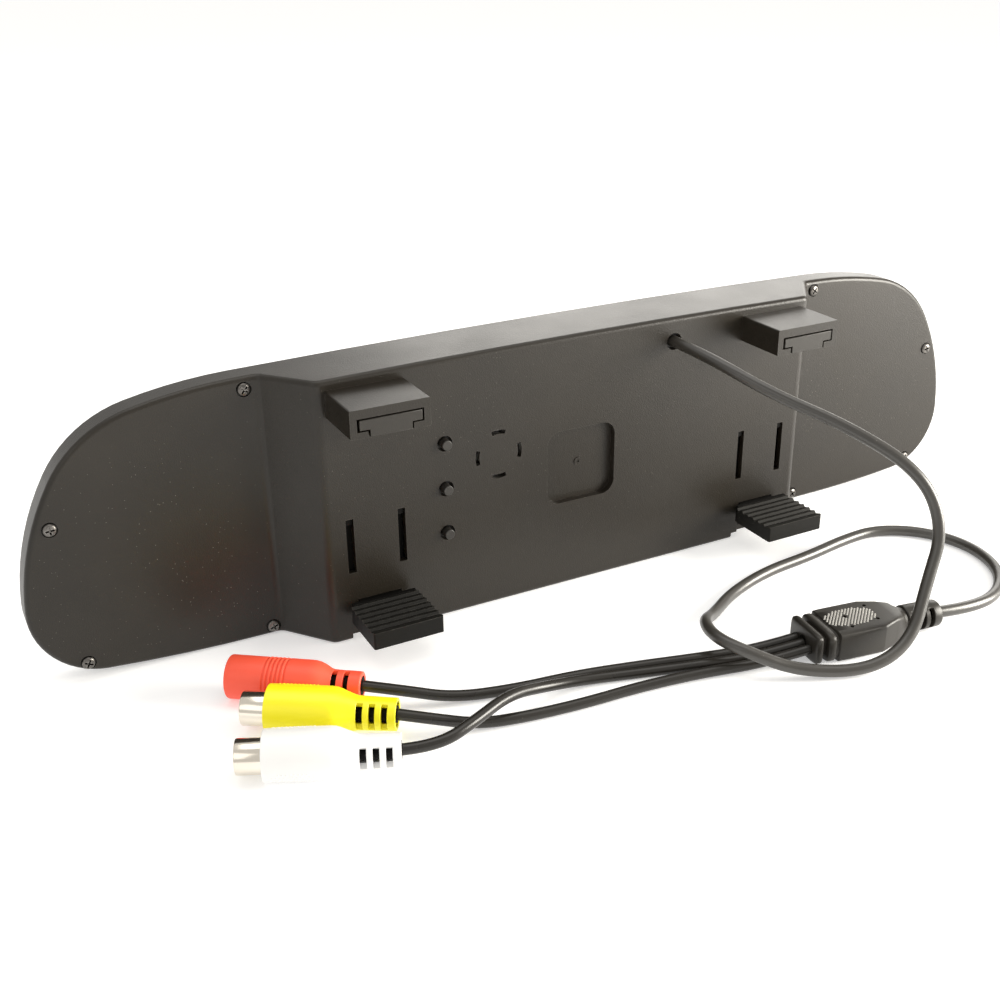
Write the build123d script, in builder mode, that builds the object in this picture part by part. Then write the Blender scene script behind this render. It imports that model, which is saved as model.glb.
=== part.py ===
from build123d import *
import os
from math import pi, radians, tan

os.makedirs("parts", exist_ok=True)

# Rear-view mirror monitor with its lead, seen from its back: X along its length, -Y out of its back,
# +Z up, millimetres. The origin is under the middle of the case, on the surface that it stands on.

# Case
case_half_length = 149.5
case_height = 74.5
height_scale = case_height / 74.5    # points by the rounded ends are given for this height
case_depth = 22.0          # back face to front rim
box_half_length = case_half_length - 73.5   # the raised middle of the back
ramp_length = 10.5
box_depth = 13.5           # how far the raised middle stands out of the wings
fold_radius, foot_radius = 3.0, 2.5
ramp_foot = box_half_length + ramp_length
straight_half = ramp_foot + 5.5    # straight part of the foot and the brow
seam_depth = case_depth - 3.0      # where the rear case meets the bezel
wall = 1.8
edge_radius = 1.3
bezel_radius = 1.4
bezel_ring = 5.4           # rim behind which the glass lies
bezel_lip = bezel_ring + 1.2
lip_thickness = 0.9
glass_thickness = 1.8
fit_gap = 0.1
beyond = 20.0              # how far cutting shapes reach past the case

# Hooks over the top of the vehicle's mirror
hook_x = 63.2
hook_width = 21.0
hook_reach = 16.2
hook_bottom = case_height - 10.6
hook_height = 7.4
hook_top_wall = 2.35
hook_side_wall = 1.8
hook_lip = 1.65
hook_corner = 0.4
slot_stem_width = 11.8
slot_floor = 2.2           # how far the T slot stops short of the back face
hook_pad_gap = 0.25

# Sprung clips under the vehicle's mirror
clip_x = 62.4
clip_travel = 13.5
clip_gap = 0.3
pad_width = 19.4
pad_thickness = 4.7
pad_bottom = 7.5
pad_near = 3.45
pad_reach = 19.3
pad_corner = 0.5
rib_count = 6
rib_pitch = 2.5
rib_depth = 0.6
rib_crest = 0.5
plate_width = 16.0
plate_thickness = 1.8
plate_bottom = 3.0
plate_corner = 1.0
arm_width = 12.0
arm_height = 4.0
arm_plate = 2.3            # plate that the pad is pushed up against
tongue_thickness = 1.6
tongue_width = 14.0
guide_offset = 7.25
guide_width = 2.15
guide_bottom = 20.0
tab_height = 1.5
guide_height = clip_travel + tab_height + 0.5
plate_top = guide_bottom + guide_height
spring_radius = 1.7
spring_wire = 0.5
spring_peg_z = hook_bottom - 4.4
peg_radius = 0.85
peg_lift = 0.6             # height of the slider's peg over its plate
retainer_thickness = 1.1
retainer_post_x, retainer_post_radius = 6.5, 1.9
retainer_post_z = plate_top + 4.0
retainer_bottom, retainer_top = 13.0, 33.0

# Buttons
button_x = -42.0
button_pitch = 12.9 * height_scale
button_middle = case_height / 2 + 0.95
button_heights = {
    "up": button_middle + button_pitch,
    "menu": button_middle,
    "down": button_middle - button_pitch,
}
button_hole = 4.4
button_stem = 2.8
button_proud = 1.7
button_travel = 0.5
button_flange = 0.8
switch_size = 6.0
switch_height = 3.4
plunger_radius = 1.6
plunger_sink = 0.9

# Sound slots, recess and lead hole
sounder_x, sounder_z = -26.2, case_height - 29.6
sounder_radius, sounder_thickness = 7.6, 2.6
arc_outer, arc_inner, arc_angle = 7.0, 5.8, 37.0
recess_x, recess_z = -0.4, case_height / 2 - 0.45
recess_size, recess_radius, recess_depth = 21.7, 4.0, 2.1
recess_floor = 1.6
gate_mark = 1.1
lead_x, lead_z = 29.3, case_height - 7.0
lead_hole = 4.9


def in_corner(inwards, height):
    """Point by the case's rounded end: how far in from the end, and how high."""
    return (case_half_length - inwards * height_scale, height * height_scale)


# Case screws: x from the middle, and height
screw_places = (
    (ramp_foot + 2.0, 2.45),
    in_corner(12.5, 5.4),
    in_corner(9.0, 43.7),
    (ramp_foot + 3.4, case_height - 4.1),
)
screw_head, screw_shank, screw_pilot = 3.5, 2.0, 1.8
screw_clearance = 2.3
screw_seat = 0.5
boss_radius = 2.2

# Display
lcd_width, lcd_height, lcd_bottom = 105.5, case_height - 7.3, 3.5
lcd_thickness, backlight_thickness = 2.0, 1.2
gasket_width = 3.0
holder_half_width, holder_thickness = 60.0, 1.2
holder_post_x, holder_post_low, holder_post_high = 57.0, wall + 2.5, case_height - wall - 2.8
holder_post_radius = 2.0
holder_depth = seam_depth - lcd_thickness - backlight_thickness - 0.2   # front of the display holder

# Circuit board
board_half_width, board_bottom, board_top = 46.0, 12.0, case_height - 13.5
board_depth, board_thickness = 8.0, 1.6
board_post_x = 42.0
board_heights = (board_bottom + 3.5, board_top - 3.0)
board_post_radius = 2.2
thread_radius = 0.7        # pilot holes for the small screws

# Lead
cord_diameter = 3.2
branch_diameter = 2.8
branch_pitch = branch_diameter + 0.3
bend_share = 0.45

y_back = pad_reach - (case_depth + pad_reach) / 2
plate_near = wall + clip_gap
plate_far = plate_near + plate_thickness
retainer_near = plate_far + clip_gap
peg_tip = retainer_near + spring_radius + 0.8
clip_sides = {"left": -1, "right": 1}
both_sides = (-1, 1)


def level(depth):
    """Plane across the case at a depth behind the back face; it looks out of the back."""
    return Plane.XZ.offset(-(y_back + depth))


def save(part, name):
    part.label = name
    export_step(part, f"parts/{name}.step")


# ---------------------------------------------------------------- outlines

with BuildSketch() as outline:
    with BuildLine():
        foot = Line((0, 0), (straight_half, 0))
        sill = TangentArc([foot @ 1, in_corner(17.5, 1.9)], tangent=foot % 1)
        corner = TangentArc([sill @ 1, in_corner(0, 22.5)], tangent=sill % 1)
        cheek = TangentArc([corner @ 1, in_corner(10.2, 55.0)], tangent=corner % 1)
        shoulder = TangentArc([cheek @ 1, in_corner(31.5, 70.35)], tangent=cheek % 1)
        brow = TangentArc([shoulder @ 1, (straight_half, case_height - height_scale)], tangent=shoulder % 1)
        crown = TangentArc([brow @ 1, (0, case_height)], tangent=brow % 1)
        Line(crown @ 1, (0, 0))
    make_face()
    mirror(about=Plane.YZ)

far = case_half_length + beyond
with BuildSketch() as back_steps:
    with BuildLine():
        Polyline(
            (-far, case_depth + beyond),
            (-far, box_depth),
            (-ramp_foot, box_depth),
            (-box_half_length, 0),
            (box_half_length, 0),
            (ramp_foot, box_depth),
            (far, box_depth),
            (far, case_depth + beyond),
            close=True,
        )
    make_face()
    fillet(back_steps.vertices().filter_by(lambda v: v.Y < 1), radius=fold_radius)
    feet = back_steps.vertices().filter_by(lambda v: abs(v.Y - box_depth) < 1 and abs(v.X) < far - 1)
    fillet(feet, radius=foot_radius)

# Inside of the rear case
with BuildPart() as case_hollow:
    with BuildSketch(level(seam_depth)):
        add(outline.sketch)
        offset(amount=-wall)
    extrude(amount=seam_depth - wall)
    with BuildSketch(Plane.XY.move(Location((0, y_back, 0)))):
        add(back_steps.sketch)
        offset(amount=-wall)
    extrude(amount=case_height + 5, mode=Mode.INTERSECT)

with BuildSketch() as sound_slots:
    reach = 2 * arc_outer
    half_width = reach * tan(radians(arc_angle / 2))
    with PolarLocations(0, 4):
        Polygon((0, 0), (reach, -half_width), (reach, half_width), align=None)
    Circle(arc_outer, mode=Mode.INTERSECT)
    Circle(arc_inner, mode=Mode.SUBTRACT)

# ---------------------------------------------------------------- rear case

with BuildPart() as rear_case:
    with BuildSketch(level(seam_depth)):
        add(outline.sketch)
    extrude(amount=seam_depth)
    with BuildSketch(Plane.XY.move(Location((0, y_back, 0)))):
        add(back_steps.sketch)
    extrude(amount=case_height + 5, mode=Mode.INTERSECT)
    rims = rear_case.edges().filter_by(lambda e: e.center().Y < y_back + seam_depth - 1)
    rims = rims.filter_by(Axis.Z, reverse=True).filter_by(Axis.Y, reverse=True)
    fillet(rims, radius=edge_radius)
    add(case_hollow.part, mode=Mode.SUBTRACT)

    # Posts for the case screws, the board, the retainers and the springs
    with BuildSketch(level(seam_depth)):
        for x, z in screw_places:
            with Locations((-x, z), (x, z)):
                Circle(boss_radius)
    extrude(amount=seam_depth - box_depth - wall / 2)
    with BuildSketch(level(board_depth)):
        for z in board_heights:
            with Locations((-board_post_x, z), (board_post_x, z)):
                Circle(board_post_radius)
    extrude(amount=board_depth - wall / 2)
    with BuildSketch(level(retainer_near)):
        for side in clip_sides.values():
            with Locations((side * clip_x, retainer_post_z)):
                with Locations((-retainer_post_x, 0), (retainer_post_x, 0)):
                    Circle(retainer_post_radius)
    extrude(amount=retainer_near - wall / 2)
    with BuildSketch(level(peg_tip)):
        with Locations((-clip_x, spring_peg_z), (clip_x, spring_peg_z)):
            Circle(peg_radius)
    extrude(amount=peg_tip - wall / 2)

    # Ring that holds the sounder, and the floor of the recess
    ring_depth = wall + 2.0
    with BuildSketch(level(ring_depth)):
        with Locations((sounder_x, sounder_z)):
            Circle(sounder_radius + 1.2)
            Circle(sounder_radius + 0.2, mode=Mode.SUBTRACT)
    extrude(amount=ring_depth - wall / 2)
    recess_back = recess_depth + recess_floor
    cup_size = recess_size + 2 * (recess_floor - fit_gap)
    with BuildSketch(level(recess_back)):
        with Locations((recess_x, recess_z)):
            RectangleRounded(cup_size, cup_size, recess_radius + recess_floor - fit_gap)
    extrude(amount=recess_back - wall / 2)
    with BuildSketch(level(recess_depth)):
        with Locations((recess_x, recess_z)):
            RectangleRounded(recess_size, recess_size, recess_radius)
    extrude(amount=recess_depth + beyond, mode=Mode.SUBTRACT)
    with BuildSketch(level(recess_depth)):
        with Locations((recess_x, recess_z)):
            Circle(gate_mark)
            Circle(0.4 * gate_mark, mode=Mode.SUBTRACT)
    extrude(amount=0.25)

    # Hooks with their T slots
    with BuildSketch(level(wall / 2)):
        with Locations((-hook_x, hook_bottom + hook_height / 2), (hook_x, hook_bottom + hook_height / 2)):
            Rectangle(hook_width, hook_height)
    extrude(amount=hook_reach + wall / 2)
    hook_edges = rear_case.edges().filter_by(lambda e: e.center().Y < y_back - 1)
    fillet(hook_edges.filter_by(Axis.Y), radius=hook_corner)
    bar_height = hook_height - hook_top_wall - hook_lip
    with BuildSketch(level(-slot_floor)):
        for side in clip_sides.values():
            with Locations((side * hook_x, hook_bottom + hook_lip + bar_height / 2)):
                Rectangle(hook_width - 2 * hook_side_wall, bar_height)
            with Locations((side * hook_x, hook_bottom + hook_lip / 2)):
                Rectangle(slot_stem_width, hook_lip + 1)
    extrude(amount=hook_reach, mode=Mode.SUBTRACT)

    # Openings through the back
    with BuildSketch(level(wall + 1)):
        for side in clip_sides.values():
            with Locations((side * clip_x, guide_bottom + guide_height / 2)):
                with Locations((-guide_offset, 0), (guide_offset, 0)):
                    Rectangle(guide_width, guide_height)
            arm_top = pad_bottom + pad_thickness - clip_gap
            with Locations((side * clip_x, arm_top / 2 - 1)):
                Rectangle(arm_width + 2 * clip_gap, arm_top + 2)
        for z in button_heights.values():
            with Locations((button_x, z)):
                Circle(button_hole / 2)
        with Locations((lead_x, lead_z)):
            Circle(lead_hole / 2)
    extrude(amount=wall + 2, mode=Mode.SUBTRACT)
    with BuildSketch(level(wall + 1)):
        with Locations((sounder_x, sounder_z)):
            add(sound_slots.sketch)
    extrude(amount=wall + 2, mode=Mode.SUBTRACT)

    # Slot in the floor of the case that each clip's plate comes down through
    with BuildSketch(Plane.XY.offset(-1)):
        for side in clip_sides.values():
            with Locations((side * clip_x, y_back + retainer_near / 2 - 0.5)):
                Rectangle(plate_width + 0.8, retainer_near + 1)
    extrude(amount=wall + 1.0 + fit_gap, mode=Mode.SUBTRACT)

    # Screw holes with their seats
    with BuildSketch(level(seam_depth)):
        for x, z in screw_places:
            with Locations((-x, z), (x, z)):
                Circle(screw_clearance / 2)
    extrude(amount=seam_depth, mode=Mode.SUBTRACT)
    with BuildSketch(level(box_depth + screw_seat)):
        for x, z in screw_places:
            with Locations((-x, z), (x, z)):
                Circle(screw_head / 2 + 0.25)
    extrude(amount=screw_seat + screw_head, mode=Mode.SUBTRACT)
    with BuildSketch(level(board_depth)):
        for z in board_heights:
            with Locations((-board_post_x, z), (board_post_x, z)):
                Circle(screw_pilot / 2)
    extrude(amount=board_depth - wall - 0.8, mode=Mode.SUBTRACT)
    with BuildSketch(level(retainer_near)):
        for side in clip_sides.values():
            with Locations((side * clip_x, retainer_post_z)):
                with Locations((-retainer_post_x, 0), (retainer_post_x, 0)):
                    Circle(thread_radius)
    extrude(amount=retainer_near - wall + 0.8, mode=Mode.SUBTRACT)
save(rear_case.part, "rear_case")


# ---------------------------------------------------------------- front

with BuildPart() as front_bezel:
    with BuildSketch(level(case_depth)):
        add(outline.sketch)
    extrude(amount=case_depth - seam_depth)
    fillet(front_bezel.faces().sort_by(Axis.Y)[-1].edges(), radius=bezel_radius)
    with BuildSketch(level(case_depth - lip_thickness)):
        add(outline.sketch)
        offset(amount=-bezel_ring)
    extrude(amount=case_depth - seam_depth, mode=Mode.SUBTRACT)
    with BuildSketch(level(case_depth + 1)):
        add(outline.sketch)
        offset(amount=-bezel_lip)
    extrude(amount=3, mode=Mode.SUBTRACT)
    with BuildSketch(level(seam_depth)):
        for z in (holder_post_low, holder_post_high):
            with Locations((-holder_post_x, z), (holder_post_x, z)):
                Circle(holder_post_radius)
    extrude(amount=seam_depth - holder_depth)
    with BuildSketch(level(case_depth - 1.0)):
        for x, z in screw_places:
            with Locations((-x, z), (x, z)):
                Circle(screw_pilot / 2)
        for z in (holder_post_low, holder_post_high):
            with Locations((-holder_post_x, z), (holder_post_x, z)):
                Circle(thread_radius)
    extrude(amount=case_depth - holder_depth, mode=Mode.SUBTRACT)
save(front_bezel.part, "front_bezel")

with BuildPart() as mirror_glass:
    with BuildSketch(level(case_depth - lip_thickness)):
        add(outline.sketch)
        offset(amount=-bezel_ring - fit_gap)
    extrude(amount=glass_thickness)
save(mirror_glass.part, "mirror_glass")


def slab(x, z, width, height, near, far_side, name):
    """Flat piece that lies across the case between two depths."""
    with BuildPart() as piece:
        with BuildSketch(level(far_side)):
            with Locations((x, z)):
                Rectangle(width, height)
        extrude(amount=far_side - near)
    save(piece.part, name)


lcd_z = lcd_bottom + lcd_height / 2
lcd_front = seam_depth - fit_gap
gasket_inset = 3.0      # gasket's edge inside the panel's
slab(0, lcd_z, lcd_width, lcd_height, lcd_front - lcd_thickness, lcd_front, "lcd_panel")
slab(0, lcd_z, lcd_width, lcd_height, holder_depth + fit_gap, lcd_front - lcd_thickness, "lcd_backlight")

with BuildPart() as lcd_gasket:
    with BuildSketch(level(case_depth - lip_thickness - glass_thickness)):
        with Locations((0, lcd_z)):
            outer_width, outer_height = lcd_width - 2 * gasket_inset, lcd_height - 2 * gasket_inset - 2
            Rectangle(outer_width, outer_height)
            Rectangle(outer_width - 2 * gasket_width, outer_height - 2 * gasket_width, mode=Mode.SUBTRACT)
    extrude(amount=case_depth - lip_thickness - glass_thickness - lcd_front)
save(lcd_gasket.part, "lcd_gasket")

holder_window_width, holder_window_height = 88.0, lcd_height - 27.2
with BuildPart() as lcd_holder:
    with BuildSketch(level(holder_depth)):
        with Locations((0, (holder_post_low + holder_post_high) / 2)):
            holder_height = holder_post_high - holder_post_low + 2 * holder_post_radius + 2 * fit_gap
            RectangleRounded(2 * holder_half_width, holder_height, holder_post_radius)
        with Locations((0, lcd_z + 2)):
            RectangleRounded(holder_window_width, holder_window_height, 3, mode=Mode.SUBTRACT)
        for z in (holder_post_low, holder_post_high):
            with Locations((-holder_post_x, z), (holder_post_x, z)):
                Circle(screw_shank / 2 + 0.05, mode=Mode.SUBTRACT)
    extrude(amount=holder_thickness)
save(lcd_holder.part, "lcd_holder")


def screws(places, seat, length, head_radius, shank_radius, head_height, name):
    """Pan-head cross-recess screws whose heads sit at a depth and whose shanks point to the front."""
    with BuildPart() as group:
        with BuildSketch(level(seat)):
            with Locations(*places):
                Circle(head_radius)
        extrude(amount=head_height)
        fillet(group.faces().filter_by(Axis.Y).group_by(Axis.Y)[0].edges(), radius=head_height * 0.55)
        with BuildSketch(level(seat + length)):
            with Locations(*places):
                Circle(shank_radius)
        extrude(amount=length)
        with BuildSketch(level(seat - head_height * 0.35)):
            with Locations(*places):
                Rectangle(head_radius * 1.1, head_radius * 0.28)
                Rectangle(head_radius * 0.28, head_radius * 1.1)
        extrude(amount=head_height, mode=Mode.SUBTRACT)
    save(group.part, name)


case_places = [(side * x, z) for side in both_sides for x, z in screw_places]
case_screw_length = case_depth - 0.8 - box_depth - screw_seat
case_screw_top = box_depth + screw_seat
screws(case_places, case_screw_top, case_screw_length, screw_head / 2, screw_shank / 2, 1.2, "case_screws")
holder_heights = (holder_post_low, holder_post_high)
holder_places = [(side * holder_post_x, z) for side in both_sides for z in holder_heights]
small_head, small_shank, small_head_height = 1.6, 0.75, 0.9
holder_screw_length = case_depth - 2.6 - holder_depth + holder_thickness
screws(
    holder_places,
    holder_depth - holder_thickness,
    holder_screw_length,
    small_head,
    small_shank,
    small_head_height,
    "lcd_holder_screws",
)

# ---------------------------------------------------------------- electronics

with BuildPart() as main_board:
    with BuildSketch(level(board_depth + board_thickness)):
        with Locations((0, (board_bottom + board_top) / 2)):
            Rectangle(2 * board_half_width, board_top - board_bottom)
        for z in board_heights:
            with Locations((-board_post_x, z), (board_post_x, z)):
                Circle(screw_clearance / 2 + 0.05, mode=Mode.SUBTRACT)
    extrude(amount=board_thickness)
save(main_board.part, "main_board")

board_front = board_depth + board_thickness
board_screw_head, board_screw_shank, board_head_height = 1.9, 0.95, 1.0
with BuildPart() as board_screws:
    board_places = [(side * board_post_x, z) for side in both_sides for z in board_heights]
    with BuildSketch(level(board_front + board_head_height)):
        with Locations(*board_places):
            Circle(board_screw_head)
    extrude(amount=board_head_height)
    with BuildSketch(level(board_front)):
        with Locations(*board_places):
            Circle(board_screw_shank)
    extrude(amount=board_front - wall - 2.3)
    with BuildSketch(level(board_front + board_head_height)):
        with Locations(*board_places):
            Rectangle(1.05 * board_screw_head, 0.25 * board_screw_head)
            Rectangle(0.25 * board_screw_head, 1.05 * board_screw_head)
    extrude(amount=board_head_height / 2, mode=Mode.SUBTRACT)
save(board_screws.part, "board_screws")

chip_x, chip_z, chip_size, chip_thickness = 6.0, 38.0, 14.0, 1.4
slab(chip_x, chip_z, chip_size, chip_size, board_front, board_front + chip_thickness, "video_chip")
socket_x, socket_z, socket_width, socket_height, socket_thickness = 20.0, 17.0, 24.0, 5.0, 2.0
socket_face = board_front + socket_thickness
slab(socket_x, socket_z, socket_width, socket_height, board_front, socket_face, "flex_socket")

capacitor_radius, capacitor_height = 2.5, 3.6
coil_size, coil_height = 6.0, 2.8
power_x, power_z, power_column, power_row = -26.0, 22.0, 10.0, 9.0
with BuildPart() as power_parts:
    with BuildSketch(level(board_front + capacitor_height)):
        with Locations((power_x, power_z), (power_x, power_z + power_row), (power_x + power_column, power_z)):
            Circle(capacitor_radius)
    extrude(amount=capacitor_height)
    with BuildSketch(level(board_front + coil_height)):
        with Locations((power_x + power_column, power_z + power_row), (power_x, power_z + 2 * power_row + 1)):
            RectangleRounded(coil_size, coil_size, 1.0)
    extrude(amount=coil_height)
save(power_parts.part, "power_parts")

# Flat lead from the display's back down to its socket on the board
flex_width, flex_thickness = 20.0, 0.2
flex_slack = board_front + 3.4
with BuildPart() as lcd_flex:
    with BuildSketch(Plane.YZ.offset(socket_x - flex_width / 2)):
        with BuildLine():
            Polyline(
                (y_back + holder_depth, socket_z + 14),
                (y_back + flex_slack, socket_z + 9),
                (y_back + flex_slack, socket_z + 4),
                (y_back + board_front + 1.2, socket_z + socket_height / 2 + 0.1),
            )
        trace(line_width=flex_thickness)
    extrude(amount=flex_width)
save(lcd_flex.part, "lcd_flex")

with BuildPart() as sounder:
    with BuildSketch(level(wall + 0.4 + sounder_thickness)):
        with Locations((sounder_x, sounder_z)):
            Circle(sounder_radius)
    extrude(amount=sounder_thickness)
    fillet(sounder.faces().sort_by(Axis.Y)[-1].edges(), radius=0.5)
save(sounder.part, "sounder")

plunger_far = board_depth - switch_height + plunger_sink
plunger_height = 1.0
with BuildPart() as tact_switches:
    with BuildSketch(level(board_depth)):
        for z in button_heights.values():
            with Locations((button_x, z)):
                Rectangle(switch_size, switch_size)
    extrude(amount=switch_height)
    with BuildSketch(level(plunger_far)):
        for z in button_heights.values():
            with Locations((button_x, z)):
                Circle(plunger_radius + 0.08)
    extrude(amount=plunger_height, mode=Mode.SUBTRACT)
save(tact_switches.part, "tact_switches")

plunger_near = plunger_far - button_travel - fit_gap - plunger_height
for button_name, button_z in button_heights.items():
    with BuildPart() as plunger:
        with BuildSketch(level(plunger_near + plunger_height)):
            with Locations((button_x, button_z)):
                Circle(plunger_radius)
        extrude(amount=plunger_height)
    save(plunger.part, f"plunger_{button_name}")
    with BuildPart() as button:
        with BuildSketch(level(plunger_near)):
            with Locations((button_x, button_z)):
                Circle(button_stem / 2)
        extrude(amount=plunger_near + button_proud)
        fillet(button.faces().sort_by(Axis.Y)[0].edges(), radius=0.25)
        with BuildSketch(level(wall + fit_gap + button_flange)):
            with Locations((button_x, button_z)):
                Circle(button_hole / 2 + 0.7)
        extrude(amount=button_flange)
    save(button.part, f"button_{button_name}")

# ---------------------------------------------------------------- clamp

arm_bottom = pad_bottom + 0.1
tab_top = guide_bottom + guide_height - clip_gap

for side_name, side in clip_sides.items():
    with BuildPart() as hook_pad:
        bar_width = hook_width - 2 * hook_side_wall - 2 * hook_pad_gap
        with BuildSketch(level(-slot_floor - hook_pad_gap)):
            with Locations((side * hook_x, hook_bottom + hook_lip + (bar_height - hook_pad_gap) / 2)):
                Rectangle(bar_width, bar_height - hook_pad_gap)
            with Locations((side * hook_x, hook_bottom + hook_lip / 2)):
                Rectangle(slot_stem_width - 2 * hook_pad_gap, hook_lip)
        extrude(amount=hook_reach - slot_floor - hook_pad_gap)
    save(hook_pad.part, f"hook_pad_{side_name}")

    tongue_z = pad_bottom + 1.3 + tongue_thickness / 2
    with BuildPart() as clip_slider:
        with BuildSketch(level(plate_far)):
            with Locations((side * clip_x, (plate_bottom + plate_top) / 2)):
                Rectangle(plate_width, plate_top - plate_bottom)
            with Locations((side * clip_x, plate_top + 1.0)):
                Rectangle(4.0, 2.0)
        extrude(amount=plate_thickness)
        fillet(clip_slider.edges().filter_by(Axis.Y).group_by(Axis.Z)[0], radius=plate_corner)
        with BuildSketch(level(plate_near)):
            with Locations((side * clip_x, tab_top - tab_height / 2)):
                with Locations((-guide_offset, 0), (guide_offset, 0)):
                    Rectangle(guide_width - 0.4, tab_height)
        extrude(amount=plate_near - 0.6)
        with BuildSketch(level(plate_near)):
            with Locations((side * clip_x, arm_bottom + arm_height / 2)):
                Rectangle(arm_width, arm_height)
        extrude(amount=plate_near + arm_plate)
        with BuildSketch(level(-arm_plate)):
            with Locations((side * clip_x, pad_bottom + pad_thickness / 2)):
                Rectangle(pad_width - 1.4, pad_thickness + 0.6)
        extrude(amount=pad_near - arm_plate)
        with BuildSketch(level(-pad_near)):
            with Locations((side * clip_x, tongue_z)):
                Rectangle(tongue_width, tongue_thickness)
        extrude(amount=pad_reach - pad_near - 2.0)
        with BuildSketch(level(peg_tip)):
            with Locations((side * clip_x, plate_top + peg_lift)):
                Circle(peg_radius)
        extrude(amount=peg_tip - plate_far + 0.2)
    save(clip_slider.part, f"clip_slider_{side_name}")

    with BuildPart() as clip_pad:
        with BuildSketch(level(-pad_near)):
            with Locations((side * clip_x, pad_bottom + pad_thickness / 2)):
                Rectangle(pad_width, pad_thickness)
        extrude(amount=pad_reach - pad_near)
        fillet(clip_pad.edges().filter_by(Axis.Z), radius=pad_corner)
        with BuildSketch(level(-pad_near)):
            with Locations((side * clip_x, tongue_z)):
                Rectangle(tongue_width + 0.04, tongue_thickness + 0.04)
        extrude(amount=pad_reach - pad_near - 1.9, mode=Mode.SUBTRACT)
        # Grooves between the ribs, and the ramp down to the plain lip at the front
        pad_top = pad_bottom + pad_thickness
        with BuildSketch(Plane.YZ.offset(side * clip_x - pad_width / 2 - 1)):
            for number in range(rib_count):
                crest = y_back - pad_near - 0.35 - number * rib_pitch
                groove_end = crest - rib_pitch + rib_crest
                Polygon(
                    (crest, pad_top + 0.01),
                    (groove_end, pad_top + 0.01),
                    (groove_end, pad_top - 0.1),
                    (crest - rib_crest, pad_top - rib_depth),
                    align=None,
                )
        extrude(amount=pad_width + 2, mode=Mode.SUBTRACT)
    save(clip_pad.part, f"clip_pad_{side_name}")

    with BuildPart() as clip_retainer:
        with BuildSketch(level(retainer_near + retainer_thickness)):
            with Locations((side * clip_x, (retainer_bottom + retainer_top) / 2)):
                Rectangle(plate_width + 2 * retainer_post_radius, retainer_top - retainer_bottom)
            for arm in both_sides:
                with Locations((side * clip_x + arm * retainer_post_x, (retainer_top + retainer_post_z) / 2)):
                    Rectangle(4.6, retainer_post_z - retainer_top + 5.0)
            for arm in both_sides:
                with Locations((side * clip_x + arm * retainer_post_x, retainer_post_z)):
                    Circle(thread_radius * 1.5, mode=Mode.SUBTRACT)
            # Slot that the spring and its peg run down
            slot_low = plate_top + peg_lift - clip_travel - spring_radius - clip_gap
            slot_high = retainer_top + 1.0
            with Locations((side * clip_x, (slot_low + slot_high) / 2)):
                Rectangle(2 * (spring_radius + clip_gap), slot_high - slot_low, mode=Mode.SUBTRACT)
        extrude(amount=retainer_thickness)
        with BuildSketch(level(retainer_near)):
            for arm in both_sides:
                with Locations((side * clip_x + arm * (plate_width / 2 + 1.15), retainer_bottom + 3.5)):
                    Rectangle(1.5, 7.0)
        extrude(amount=retainer_near - wall)
    save(clip_retainer.part, f"clip_retainer_{side_name}")

    # Closed outer shape of the tension spring with an eye at each end
    lower_eye, upper_eye = plate_top + peg_lift, spring_peg_z
    eye_radius = peg_radius + 0.1
    with BuildPart() as clip_spring:
        spring_end = eye_radius + 0.1
        with BuildSketch(Plane.XY.offset(lower_eye + spring_end)):
            with Locations((side * clip_x, y_back + retainer_near + spring_radius)):
                Circle(spring_radius)
                Circle(spring_radius - spring_wire, mode=Mode.SUBTRACT)
        extrude(amount=upper_eye - lower_eye - 2 * spring_end)
        for eye in (lower_eye, upper_eye):
            with BuildSketch(level(retainer_near + spring_radius + spring_wire / 2)):
                with Locations((side * clip_x, eye)):
                    Circle(eye_radius + spring_wire + 0.35)
                    Circle(eye_radius, mode=Mode.SUBTRACT)
            extrude(amount=spring_wire)
    save(clip_spring.part, f"clip_spring_{side_name}")

retainer_places = [
    (side * clip_x + arm * retainer_post_x, retainer_post_z) for side in both_sides for arm in both_sides
]
retainer_face = retainer_near + retainer_thickness
with BuildPart() as retainer_screws:
    with BuildSketch(level(retainer_face + small_head_height)):
        with Locations(*retainer_places):
            Circle(small_head)
    extrude(amount=small_head_height)
    with BuildSketch(level(retainer_face)):
        with Locations(*retainer_places):
            Circle(small_shank)
    extrude(amount=retainer_face - wall + 0.5)
save(retainer_screws.part, "retainer_screws")

# ---------------------------------------------------------------- lead

anchor_near = wall + fit_gap
anchor_length, anchor_radius = 2.5, cord_diameter / 2 + 2.0
anchor_far = anchor_near + anchor_length
with BuildPart() as cord_anchor:
    with BuildSketch(level(anchor_far)):
        with Locations((lead_x, lead_z)):
            Circle(anchor_radius)
    extrude(amount=anchor_length)
save(cord_anchor.part, "cord_anchor")

header_z = case_height - 27.5
header_width, header_length, header_height = 12.4, 6.5, 4.2
header_wall, header_plug_height = 0.7, 2.6
with BuildPart() as lead_socket:
    with BuildSketch(level(board_depth)):
        with Locations((lead_x, header_z + header_length / 2)):
            Rectangle(header_width, header_length)
    extrude(amount=header_height)
    with BuildSketch(level(board_depth - header_wall)):
        with Locations((lead_x, header_z + header_length)):
            Rectangle(header_width - 2.4, 2 * header_length - 3.0)
    extrude(amount=header_plug_height + 0.2, mode=Mode.SUBTRACT)
save(lead_socket.part, "lead_socket")

plug_near = board_depth - header_wall - fit_gap - header_plug_height
with BuildPart() as lead_plug:
    with BuildSketch(level(plug_near + header_plug_height)):
        with Locations((lead_x, header_z + 5.8)):
            Rectangle(header_width - 2.6, 8.4)
    extrude(amount=header_plug_height)
save(lead_plug.part, "lead_plug")

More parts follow.
